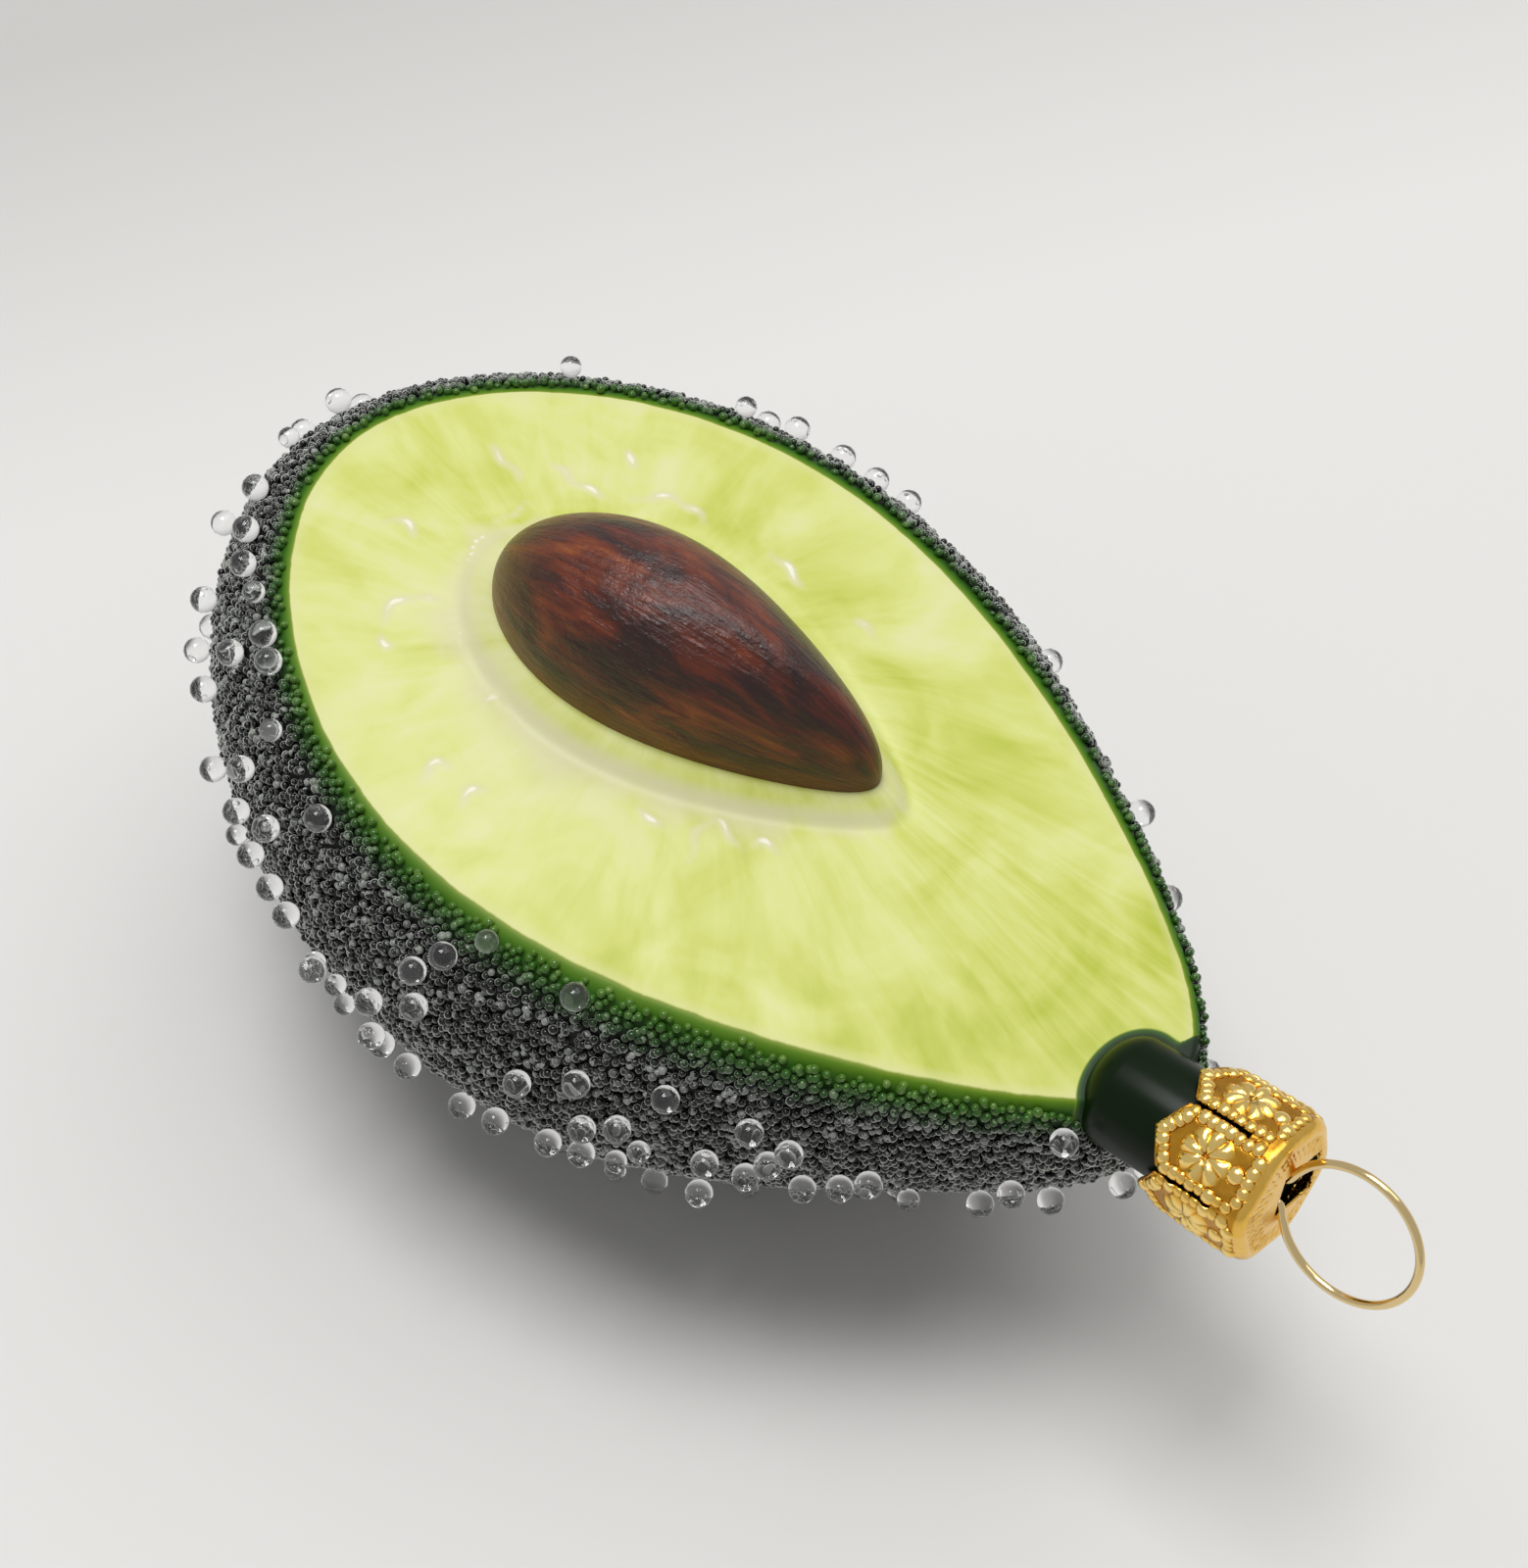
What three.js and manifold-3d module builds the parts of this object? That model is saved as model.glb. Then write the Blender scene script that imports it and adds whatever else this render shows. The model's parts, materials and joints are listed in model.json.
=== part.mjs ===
// A hanging ornament in the shape of half an avocado, lying on its round back.
// One blown glass body carries a painted cut face, a brown pit, a coat of fine glass beads on the
// skin, larger beads glued on that coat, and a stamped metal cap with a sprung wire hanger.
//
// Millimetres. The pieces are shaped in the ornament's own axes: +X runs from the fat end to the
// neck, +Y across the cut face, +Z out of the cut face, and the face is level at z = 0. The whole
// is then tipped a little toward the neck, as it comes to rest on a table, with +Z up.

import * as THREE from "three";
import { mergeVertices } from "three/addons/utils/BufferGeometryUtils.js";
import Module from "manifold-3d";

const wasm = await Module();
wasm.setup();

// Cut face: an egg outline from the fat end at x = 0 to the neck end at x = FACE_LENGTH.
const FACE_LENGTH = 82;
const FACE_HALF_WIDTH = 22.9;
const FACE_EGG = [0.295, -0.19, -0.078]; // share added to the half width per power of cos t
const FACE_CROWN = 0.7; // rise of the painted face at its middle

// Skin: the outer surface of the bead coat, which swells out under the face.
const RIM_WIDTH = 2.1; // from the painted face to the edge of the skin
const NECK_RIM_WIDTH = 1.1; // the same at the neck end
const BODY_DEPTH = 38.7;
const BELLY_X = 37.4; // where the skin is deepest
const FAT_SWELL = 30.5; // degrees of arc above the widest level, at the fat end
const SIDE_SWELL = 33;
const NECK_SWELL = 11.3;
const GLASS_WALL = 0.8;

// Collar: the raised ring of the face that the pit sits on.
const COLLAR_HEIGHT = 1.1;
const COLLAR_WIDTH = 3.2;

// Pit: half an egg, hollow and open below.
const PIT_LENGTH = 34.4;
const PIT_HALF_WIDTH = 7.5;
const PIT_EGG = [0.34, -0.12, -0.06];
const PIT_HEIGHT = 10.4;
const PIT_START = [17.4, -0.8]; // blunt end on the cut face
const PIT_TURN = 6.5; // degrees from the length of the face
const PIT_WALL = 0.9;

// Neck: a round glass tube with a blunt start on the face, that leans up out of the face.
const NECK_RADIUS = 4.4;
const NECK_DEPTH = 2.2; // axis below the face where the neck starts
const NECK_ASIDE = -2.9; // and from the middle of the face
const NECK_LEAN = 14; // degrees out of the face
const NECK_VEER = 2; // degrees toward -Y
const NECK_ON_FACE = 4.8; // how far its start lies back on the face
const NECK_BLUNT = 3.0; // length of its rounded start
const NECK_LENGTH = 15.5;

// Bead coat and the larger beads on it.
const COAT_THICKNESS = 0.7;
const COAT_FIRST_LEVEL = 0.02; // share of the way from the rim to the belly
const GLUE_GAP = 0.3;
const BEAD_RADIUS = 1.1;
const BEAD_COUNT = 42;
const BEAD_SPACING = 2.8; // least distance between the centres of two beads
const BEAD_SEED = 20;
const NUMBERS_LEFT_OUT = 3;
const BEAD_FIRST_LEVEL = 0.12;
const BEAD_LAST_LEVEL = 0.9;
const BEAD_CLUMPING = 0.45; // chance that a bead lies beside the one before it
const BEAD_CLUMP_TURN = 0.3; // how far round and down it may lie from that one
const BEAD_CLUMP_LEVEL = 0.12;
const BEAD_NECK_CLEAR = 4; // from the petal points back to the first beads
const REST_BEAD_COUNT = 4;
const REST_BEAD_RISE = 0.9; // the beads it rests on sit this much above the lowest one that would fit
const REST_CLEAR = 0.5; // the other beads stay this far off the table

// Cap: a six-sided stamped sheet with a pointed petal on each side.
const CAP_SIDES = 6;
const CAP_CORNER = 3.0;
const CAP_SHEET = 0.4;
const CAP_FIT = 0.3; // from the neck to the flat inside of each petal, and from its rim to the end plate
const CAP_LENGTH = 8.6; // from the petal points to the outer face of the end plate
const PETAL_POINT = 1.5; // how far a petal's point stands past its corners
const PETAL_TIP_WIDTH = 0.5;
const SLIT_WIDTH = 0.55;
const SLIT_LENGTH = 6.2; // from the petal points
const CAP_TURN = -36; // degrees round the neck, from +Z toward +Y, to the middle of a petal
const SLOT_LENGTH = 4.8;
const SLOT_ASIDE = 1.5; // from the neck's axis to the middle of the slot

// Hanger: one wire, a round loop outside the cap and two sprung legs in the neck.
const WIRE_RADIUS = 0.33;
const WIRE_FIT = 0.3; // from the wire to the edge of the slot
const HANGER_TURN = 20; // degrees round the neck, as for CAP_TURN, to one of the legs
const LOOP_RADIUS = 5.4;
const LOOP_STAND_OFF = 0.1; // from the end plate to the loop's circle
const LOOP_OPENING = 25; // degrees of the circle on each side where the wire turns into the slot
const LEG_GAP = 1.2; // half the distance between the legs where they pass the slot
const LEG_SPREAD = 2.4; // the same at their ends
const LEG_LENGTH = 9.2; // below the end plate

const REST_TILT = 5.2; // degrees that the neck end hangs down

// How finely the curved pieces are divided.
const AROUND = 48;
const SKIN_RINGS = 9;
const COLLAR_RINGS = 3;
const FACE_RINGS = 4;
const PIT_RINGS = 6;
const PIT_AROUND = 32;
const TUBE_SIDES = 24;
const WIRE_SIDES = 8;
const WIRE_STEPS = 66;
const BEAD_DETAIL = 1;
const LOOP_STEPS = 20;
const BLUNT_RINGS = 6;
const HALVINGS = 40; // steps of each search for a place on the skin

// Places that follow from the sizes above.
const NECK_START = FACE_LENGTH - NECK_ON_FACE;
const NECK_END = NECK_START + NECK_LENGTH;
const BORE_START = NECK_START + NECK_BLUNT;
const CAP_ACROSS = 2 * (NECK_RADIUS + CAP_FIT + CAP_SHEET);
const CAP_END = NECK_END + CAP_FIT + CAP_SHEET; // outer face of the end plate
const PETAL_TIP = CAP_END - CAP_LENGTH;
const SLOT_WIDTH = 2 * (LEG_GAP + WIRE_RADIUS + WIRE_FIT);
const PLINTH = FACE_CROWN + COLLAR_HEIGHT; // height of the seat under the pit

const radians = THREE.MathUtils.degToRad;

// An egg outline: x runs along its length as a cosine, and a cubic in that cosine shapes the width.
function eggOutline(t, length, halfWidth, egg) {
  const c = Math.cos(t);
  const share = 1 + egg[0] * c + egg[1] * c ** 2 + egg[2] * c ** 3;
  return new THREE.Vector2((length / 2) * (1 - c), halfWidth * Math.sin(t) * share);
}

const faceOutline = (t) => eggOutline(t, FACE_LENGTH, FACE_HALF_WIDTH, FACE_EGG);

function pitOutline(t) {
  return eggOutline(t, PIT_LENGTH, PIT_HALF_WIDTH, PIT_EGG)
    .rotateAround(new THREE.Vector2(), radians(PIT_TURN))
    .add(new THREE.Vector2(...PIT_START));
}

const pitCentre = () => pitOutline(0).add(pitOutline(Math.PI)).multiplyScalar(0.5);

// 0 at the fat end of the face, 1 at the neck end.
const towardNeck = (t) => (1 - Math.cos(t)) / 2;

// The edge of the skin in the plane of the face, drawn in by inset.
function rimOutline(t, inset) {
  const step = 1e-4;
  const along = faceOutline(t + step).sub(faceOutline(t - step)).normalize();
  const width = THREE.MathUtils.lerp(RIM_WIDTH, NECK_RIM_WIDTH, towardNeck(t) ** 8);
  const outward = new THREE.Vector2(-along.y, along.x);
  return faceOutline(t).addScaledVector(outward, width - inset);
}

function swellAngle(t) {
  const end = towardNeck(t) < 0.5 ? FAT_SWELL : NECK_SWELL;
  return radians(end + (SIDE_SWELL - end) * Math.sin(Math.PI * towardNeck(t)) ** 2);
}

// A point of the skin: level 0 is the rim and 1 the bottom of the belly. Each way down is an
// elliptic arc that starts above its widest level by the swell angle.
function skinPoint(t, level, inset, top) {
  const swell = swellAngle(t);
  const arc = -swell + (Math.PI / 2 + swell) * level;
  const reach = Math.cos(arc) / Math.cos(swell);
  const sink = (Math.sin(arc) + Math.sin(swell)) / (1 + Math.sin(swell));
  const rim = rimOutline(t, inset);
  const x = BELLY_X + (rim.x - BELLY_X) * reach;
  return new THREE.Vector3(x, rim.y * reach, -top - (BODY_DEPTH - inset - top) * sink);
}

// The point of the bead coat under a place (x, y) of the face, found by its direction from the belly.
function skinUnder(x, y) {
  const aim = Math.atan2(Math.abs(y), BELLY_X - x);
  let [low, high] = [0, Math.PI];
  for (let i = 0; i < HALVINGS; i++) {
    const rim = rimOutline((low + high) / 2, 0);
    if (Math.atan2(rim.y, BELLY_X - rim.x) < aim) low = (low + high) / 2;
    else high = (low + high) / 2;
  }
  const t = low * (y < 0 ? -1 : 1);
  const rim = rimOutline(t, 0);
  const reach = Math.hypot(x - BELLY_X, y) / Math.hypot(rim.x - BELLY_X, rim.y);
  const swell = swellAngle(t);
  return { t, level: (Math.acos(reach * Math.cos(swell)) + swell) / (Math.PI / 2 + swell) };
}

// The centre of a bead glued on the coat.
function beadCentre({ t, level }) {
  const step = 1e-3;
  const here = skinPoint(t, level, 0, 0);
  const around = skinPoint(t + step, level, 0, 0).sub(skinPoint(t - step, level, 0, 0));
  const down = here.clone().sub(skinPoint(t, level - step, 0, 0));
  const outward = around.cross(down).normalize();
  return here.addScaledVector(outward, BEAD_RADIUS + GLUE_GAP);
}

const turns = (count) => Array.from({ length: count }, (_, i) => (2 * Math.PI * i) / count);

// Closes a stack of rings into a solid. A ring of one point is a pole.
function solidFromRings(rings) {
  const points = rings.flat();
  const starts = rings.map((_, i) => rings.slice(0, i).flat().length);
  const faces = [];
  for (let i = 0; i + 1 < rings.length; i++) {
    const [a, b] = [rings[i].length, rings[i + 1].length];
    for (let k = 0; k < Math.max(a, b); k++) {
      const upper = [k, k + 1].map((n) => starts[i] + (n % a));
      const lower = [k, k + 1].map((n) => starts[i + 1] + (n % b));
      if (b > 1) faces.push(upper[0], lower[1], lower[0]);
      if (a > 1) faces.push(upper[0], upper[1], lower[1]);
    }
  }
  return new wasm.Manifold(
    new wasm.Mesh({
      numProp: 3,
      vertProperties: new Float32Array(points.flatMap((p) => p.toArray())),
      triVerts: new Uint32Array(faces),
    }),
  );
}

// A solid from any closed three.js geometry.
function solidFromGeometry(geometry) {
  const bare = geometry.clone().deleteAttribute("normal").deleteAttribute("uv");
  const merged = mergeVertices(bare, 1e-4);
  return new wasm.Manifold(
    new wasm.Mesh({
      numProp: 3,
      vertProperties: new Float32Array(merged.attributes.position.array),
      triVerts: new Uint32Array(merged.index.array),
    }),
  );
}

function geometryFromSolid(solid) {
  const mesh = solid.getMesh();
  return new THREE.BufferGeometry()
    .setAttribute("position", new THREE.BufferAttribute(mesh.vertProperties, 3))
    .setIndex(new THREE.BufferAttribute(mesh.triVerts, 1))
    .toNonIndexed();
}

// What the neck carries is first shaped round the X axis and is then set on the neck, which is
// turned about its start.
const onNeck = new THREE.Matrix4()
  .makeTranslation(NECK_START, NECK_ASIDE, -NECK_DEPTH)
  .multiply(new THREE.Matrix4().makeRotationZ(-radians(NECK_VEER)))
  .multiply(new THREE.Matrix4().makeRotationY(-radians(NECK_LEAN)))
  .multiply(new THREE.Matrix4().makeTranslation(-NECK_START, 0, 0));

// A round solid on the neck's axis, from pairs of distance along the neck and radius.
function turnedOnNeck(profile, sides = TUBE_SIDES) {
  const points = profile.map(([x, radius]) => new THREE.Vector2(radius, x));
  const lathe = new THREE.LatheGeometry(points, sides);
  return solidFromGeometry(lathe.rotateZ(-Math.PI / 2).applyMatrix4(onNeck));
}

function neckRod(from, to, radius) {
  return turnedOnNeck([
    [from, 0],
    [from, radius],
    [to, radius],
    [to, 0],
  ]);
}

// Height of the painted face: a low crown, and the collar round the pit.
function faceHeight(share, fromPit) {
  const collar = 1 - THREE.MathUtils.smoothstep(fromPit, 0, COLLAR_WIDTH);
  return FACE_CROWN * (1 - share ** 2) + COLLAR_HEIGHT * collar;
}

// Rings from the rim, or a level below it, to the bottom of the belly.
function skinRings(inset, top = 0, firstLevel = 0) {
  const rings = Array.from({ length: SKIN_RINGS }, (_, i) => {
    const level = THREE.MathUtils.lerp(firstLevel, 1, i / SKIN_RINGS);
    return turns(AROUND).map((t) => skinPoint(t, level, inset, top));
  });
  return [...rings, [new THREE.Vector3(BELLY_X, 0, inset - BODY_DEPTH)]];
}

// Rings from the middle of the pit's seat to the edge of the painted face.
function faceRings() {
  const centre = pitCentre();
  const rings = [[new THREE.Vector3(centre.x, centre.y, PLINTH)]];
  for (let i = 0; i <= COLLAR_RINGS + FACE_RINGS; i++) {
    const onCollar = Math.min(i / COLLAR_RINGS, 1);
    const onFace = Math.max((i - COLLAR_RINGS) / FACE_RINGS, 0);
    rings.push(
      turns(AROUND).map((t) => {
        const span = faceOutline(t).distanceTo(pitOutline(t));
        const fromPit = COLLAR_WIDTH * onCollar + (span - COLLAR_WIDTH) * onFace;
        const p = pitOutline(t).lerp(faceOutline(t), fromPit / span);
        return new THREE.Vector3(p.x, p.y, faceHeight(fromPit / span, fromPit));
      }),
    );
  }
  return rings;
}

function glassBody() {
  const outerInset = COAT_THICKNESS + GLUE_GAP;
  const shell = solidFromRings([...faceRings(), ...skinRings(outerInset)]);
  const hollowCentre = new THREE.Vector3(BELLY_X, 0, -GLASS_WALL);
  const hollow = solidFromRings([[hollowCentre], ...skinRings(outerInset + GLASS_WALL, GLASS_WALL)]);
  // The neck starts on the face with a blunt, rounded end.
  const quarter = Array.from({ length: BLUNT_RINGS }, (_, i) => (Math.PI / 2) * (i / BLUNT_RINGS));
  const neck = turnedOnNeck([
    ...quarter.map((a) => [
      NECK_START + NECK_BLUNT * (1 - Math.cos(a)),
      NECK_RADIUS * Math.sin(a),
    ]),
    [NECK_START + NECK_BLUNT, NECK_RADIUS],
    [NECK_END, NECK_RADIUS],
    [NECK_END, 0],
  ]);
  const bore = neckRod(BORE_START, NECK_END + 1, NECK_RADIUS - GLASS_WALL);
  return shell.add(neck).subtract(hollow.add(bore));
}

// The coat follows the skin from just below the rim, with a hole for the neck.
function beadCoat() {
  const outer = skinRings(0, 0, COAT_FIRST_LEVEL);
  const inner = skinRings(COAT_THICKNESS, 0, COAT_FIRST_LEVEL);
  const coat = solidFromRings([...inner.toReversed(), ...outer]);
  return coat.subtract(neckRod(NECK_START, NECK_END, NECK_RADIUS + GLUE_GAP));
}

// Half an egg standing on its seat, drawn in by inset.
function pitRings(inset) {
  const centre = pitCentre();
  const base = PLINTH + GLUE_GAP;
  const rings = Array.from({ length: PIT_RINGS }, (_, i) => {
    const arc = (Math.PI / 2) * (i / PIT_RINGS);
    const height = base + (PIT_HEIGHT - inset) * Math.sin(arc);
    return turns(PIT_AROUND).map((t) => {
      const edge = pitOutline(t).sub(centre);
      edge.setLength(edge.length() - inset).multiplyScalar(Math.cos(arc)).add(centre);
      return new THREE.Vector3(edge.x, edge.y, height);
    });
  });
  return [...rings, [new THREE.Vector3(centre.x, centre.y, base + PIT_HEIGHT - inset)]];
}

function pitShell() {
  return solidFromRings([...pitRings(0).toReversed(), ...pitRings(PIT_WALL)]);
}

// The way out from the neck's axis at a turn in degrees, before the neck leans.
const outFromNeck = (turn) => new THREE.Vector3(0, Math.sin(radians(turn)), Math.cos(radians(turn)));

// Sets a geometry on the neck: x goes out at a turn, y a quarter further round, and z back from the
// place named by its distance along the neck.
function setOnNeck(geometry, turn, along) {
  const back = new THREE.Vector3(-1, 0, 0);
  const frame = new THREE.Matrix4().makeBasis(outFromNeck(turn), outFromNeck(turn + 90), back);
  return geometry.applyMatrix4(onNeck.clone().multiply(frame.setPosition(along, 0, 0)));
}

// A regular outline with round corners and a side in the middle of +x.
function roundedPolygon(across, corner) {
  const shape = new THREE.Shape();
  const half = Math.PI / CAP_SIDES;
  for (const a of turns(CAP_SIDES)) {
    const out = (across / 2 - corner) / Math.cos(half);
    shape.absarc(out * Math.cos(a + half), out * Math.sin(a + half), corner, a, a + 2 * half);
  }
  return shape;
}

// The cut at one corner of the cap, seen from outside: a wide notch that slopes two petals to their
// points, and a narrow slit at its bottom.
function cornerCut(turn) {
  const half = (CAP_ACROSS / 2) * Math.sin(Math.PI / CAP_SIDES) - PETAL_TIP_WIDTH / 2;
  const slit = SLIT_WIDTH / 2;
  const slope = PETAL_POINT * (1 - slit / half);
  const outline = [
    [-half, 1],
    [-half, 0],
    [-slit, -slope],
    [-slit, -SLIT_LENGTH],
    [slit, -SLIT_LENGTH],
    [slit, -slope],
    [half, 0],
    [half, 1],
  ];
  const shape = new THREE.Shape(outline.map(([x, y]) => new THREE.Vector2(x, y)));
  const cut = new THREE.ExtrudeGeometry(shape, { depth: CAP_ACROSS, bevelEnabled: false });
  const back = new THREE.Vector3(0, 0, 1);
  const diagonal = new THREE.Vector3(Math.cos(turn), Math.sin(turn), 0);
  cut.applyMatrix4(new THREE.Matrix4().makeBasis(back.clone().cross(diagonal), back, diagonal));
  return solidFromGeometry(setOnNeck(cut, CAP_TURN, PETAL_TIP));
}

function stampedCap() {
  const prism = (across, corner, from) => {
    const options = { depth: CAP_LENGTH, bevelEnabled: false, curveSegments: 3 };
    const geometry = new THREE.ExtrudeGeometry(roundedPolygon(across, corner), options);
    return solidFromGeometry(setOnNeck(geometry, CAP_TURN, from));
  };
  const outside = prism(CAP_ACROSS, CAP_CORNER, CAP_END);
  const insideAcross = CAP_ACROSS - 2 * CAP_SHEET;
  const inside = prism(insideAcross, CAP_CORNER - CAP_SHEET, CAP_END - CAP_SHEET);
  const slotBox = new THREE.BoxGeometry(SLOT_WIDTH, SLOT_LENGTH, 4 * CAP_SHEET);
  const slot = setOnNeck(slotBox.translate(0, SLOT_ASIDE, 0), HANGER_TURN, CAP_END);
  const shell = outside.subtract(inside).subtract(solidFromGeometry(slot));
  const corners = turns(CAP_SIDES).map((turn) => turn + Math.PI / CAP_SIDES);
  return corners.reduce((cap, turn) => cap.subtract(cornerCut(turn)), shell);
}

// One wire: up one leg, round the loop and down the other leg.
function wireHanger() {
  const centre = CAP_END + LOOP_STAND_OFF + LOOP_RADIUS;
  const leg = [
    [CAP_END - LEG_LENGTH, LEG_SPREAD],
    [CAP_END - LEG_LENGTH / 2, (LEG_SPREAD + LEG_GAP) / 2],
    [CAP_END - 3 * CAP_SHEET, LEG_GAP],
    [CAP_END, LEG_GAP],
  ];
  const first = radians(LOOP_OPENING);
  const loop = Array.from({ length: LOOP_STEPS + 1 }, (_, i) => {
    const a = THREE.MathUtils.lerp(first, 2 * Math.PI - first, i / LOOP_STEPS);
    return [centre - LOOP_RADIUS * Math.cos(a), LOOP_RADIUS * Math.sin(a)];
  });
  const otherLeg = leg.toReversed().map(([along, out]) => [along, -out]);
  const legWay = outFromNeck(HANGER_TURN);
  const route = [...leg, ...loop, ...otherLeg].map(([along, out]) =>
    new THREE.Vector3(along, 0, 0).addScaledVector(legWay, out).applyMatrix4(onNeck),
  );
  const onSection = (a) => new THREE.Vector2(WIRE_RADIUS * Math.cos(a), WIRE_RADIUS * Math.sin(a));
  const section = new THREE.Shape(turns(WIRE_SIDES).map(onSection));
  const path = new THREE.CatmullRomCurve3(route);
  return new THREE.ExtrudeGeometry(section, { steps: WIRE_STEPS, extrudePath: path });
}

// Height above the table's plane, before the whole is lifted to stand on it.
const tilt = radians(REST_TILT);
const heightOf = (p) => p.z * Math.cos(tilt) - p.x * Math.sin(tilt);

// The lowest place of the skin lies on the line from the belly toward the neck.
function lowestPlace() {
  let [low, high] = [BELLY_X, FACE_LENGTH];
  for (let i = 0; i < HALVINGS; i++) {
    const [a, b] = [(2 * low + high) / 3, (low + 2 * high) / 3];
    if (heightOf(beadCentre(skinUnder(a, 0))) < heightOf(beadCentre(skinUnder(b, 0)))) high = b;
    else low = a;
  }
  return low;
}

// Beads of equal height round the lowest place, found by walking out to the level they share.
function restingBeads() {
  const x = lowestPlace();
  const shared = heightOf(beadCentre(skinUnder(x, 0))) + REST_BEAD_RISE;
  return turns(REST_BEAD_COUNT).map((turn) => {
    const a = turn + Math.PI / REST_BEAD_COUNT;
    const at = (r) => beadCentre(skinUnder(x + r * Math.cos(a), r * Math.sin(a)));
    let [near, far] = [0, BELLY_X / 2];
    for (let i = 0; i < HALVINGS; i++) {
      if (heightOf(at((near + far) / 2)) < shared) near = (near + far) / 2;
      else far = (near + far) / 2;
    }
    return at(near);
  });
}

// A steady stream of numbers from 0 to 1 that is the same each time. The first few follow the seed
// too closely and are left out.
function* steadyNumbers(seed) {
  let state = seed;
  for (let drawn = 1; ; drawn++) {
    state = (state * 16807) % 2147483647;
    if (drawn > NUMBERS_LEFT_OUT) yield state / 2147483647;
  }
}

// The other beads lie where they fell, single or beside another: anywhere on the coat that is
// clear of the neck, of each other and of the table. Each has its own stream of numbers, so a bead
// that has to move aside moves no other.
function scatteredBeads(resting) {
  const table = heightOf(resting[0]);
  const beads = [...resting];
  let last = null;
  for (let i = 0; i < BEAD_COUNT; i++) {
    const numbers = steadyNumbers(BEAD_SEED * (i + 1));
    const next = () => numbers.next().value;
    for (let placed = false; !placed; ) {
      const clumped = last !== null && next() < BEAD_CLUMPING;
      const t = clumped ? last.t + BEAD_CLUMP_TURN * (next() - 0.5) : 2 * Math.PI * next();
      const level = clumped
        ? last.level + BEAD_CLUMP_LEVEL * (next() - 0.5)
        : THREE.MathUtils.lerp(BEAD_FIRST_LEVEL, BEAD_LAST_LEVEL, next());
      const centre = beadCentre({ t, level });
      placed =
        beads.every((other) => other.distanceTo(centre) > BEAD_SPACING) &&
        centre.x < PETAL_TIP - BEAD_NECK_CLEAR &&
        heightOf(centre) > table + REST_CLEAR;
      if (placed) {
        beads.push(centre);
        last = { t, level };
      }
    }
  }
  return beads.slice(resting.length);
}

const finish = (color, roughness, metalness) =>
  new THREE.MeshStandardMaterial({ color, roughness, metalness });
const paintedGlass = finish(0xdde58f, 0.3, 0);
const brownPaint = finish(0x4a1f0b, 0.25, 0);
const beadedGlass = finish(0x5c6060, 0.35, 0);
const clearGlass = finish(0xd9dedb, 0.05, 0);
const brassSheet = finish(0xd9a536, 0.3, 1);
const goldWire = finish(0xdcc084, 0.15, 1);

const lying = new THREE.Group();

function addPiece(name, geometry, material) {
  const mesh = new THREE.Mesh(geometry, material);
  mesh.name = name;
  lying.add(mesh);
  return mesh;
}

addPiece("glass_body", geometryFromSolid(glassBody()), paintedGlass);
addPiece("pit_shell", geometryFromSolid(pitShell()), brownPaint);
addPiece("bead_coat", geometryFromSolid(beadCoat()), beadedGlass);
addPiece("cap", geometryFromSolid(stampedCap()), brassSheet);
addPiece("wire_hanger", wireHanger(), goldWire);

const beadBall = new THREE.IcosahedronGeometry(BEAD_RADIUS, BEAD_DETAIL);
const resting = restingBeads();
const twoDigits = (i) => String(i + 1).padStart(2, "0");
resting.forEach((p, i) => addPiece(`rest_bead_${twoDigits(i)}`, beadBall, clearGlass).position.copy(p));
scatteredBeads(resting).forEach((p, i) =>
  addPiece(`bead_${twoDigits(i)}`, beadBall, clearGlass).position.copy(p),
);

// Tip the ornament as it lies, and stand it on z = 0 with its box centred over the origin.
lying.rotation.y = tilt;
const box = new THREE.Box3().setFromObject(lying, true);
const middle = box.getCenter(new THREE.Vector3());
lying.position.set(-middle.x, -middle.y, -box.min.z);

const ornament = new THREE.Group();
ornament.add(lying);

export default ornament;
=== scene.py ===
import json
import bpy
import numpy as np
from mathutils import Matrix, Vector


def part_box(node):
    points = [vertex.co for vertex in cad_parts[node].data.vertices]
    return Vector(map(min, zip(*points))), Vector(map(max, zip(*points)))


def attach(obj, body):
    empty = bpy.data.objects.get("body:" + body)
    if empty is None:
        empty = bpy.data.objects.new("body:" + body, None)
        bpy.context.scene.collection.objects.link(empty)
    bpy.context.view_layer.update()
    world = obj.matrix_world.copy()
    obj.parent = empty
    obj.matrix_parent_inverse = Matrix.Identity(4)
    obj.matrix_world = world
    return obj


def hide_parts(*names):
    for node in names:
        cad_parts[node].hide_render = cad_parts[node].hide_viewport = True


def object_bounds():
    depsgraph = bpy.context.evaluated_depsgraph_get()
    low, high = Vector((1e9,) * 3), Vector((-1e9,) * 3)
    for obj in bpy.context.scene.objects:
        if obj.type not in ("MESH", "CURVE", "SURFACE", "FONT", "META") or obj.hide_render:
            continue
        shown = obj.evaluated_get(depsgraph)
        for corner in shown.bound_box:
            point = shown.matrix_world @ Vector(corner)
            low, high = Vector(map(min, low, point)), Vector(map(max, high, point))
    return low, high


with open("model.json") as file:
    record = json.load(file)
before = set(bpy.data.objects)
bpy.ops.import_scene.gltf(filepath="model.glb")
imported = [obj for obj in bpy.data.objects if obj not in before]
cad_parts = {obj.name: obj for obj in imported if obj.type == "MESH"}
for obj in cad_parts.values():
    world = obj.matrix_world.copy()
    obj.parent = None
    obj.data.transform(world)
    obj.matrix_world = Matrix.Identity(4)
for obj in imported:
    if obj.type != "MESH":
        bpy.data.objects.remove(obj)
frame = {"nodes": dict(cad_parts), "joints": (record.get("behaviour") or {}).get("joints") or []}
cad_box = np.array(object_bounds())


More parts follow.
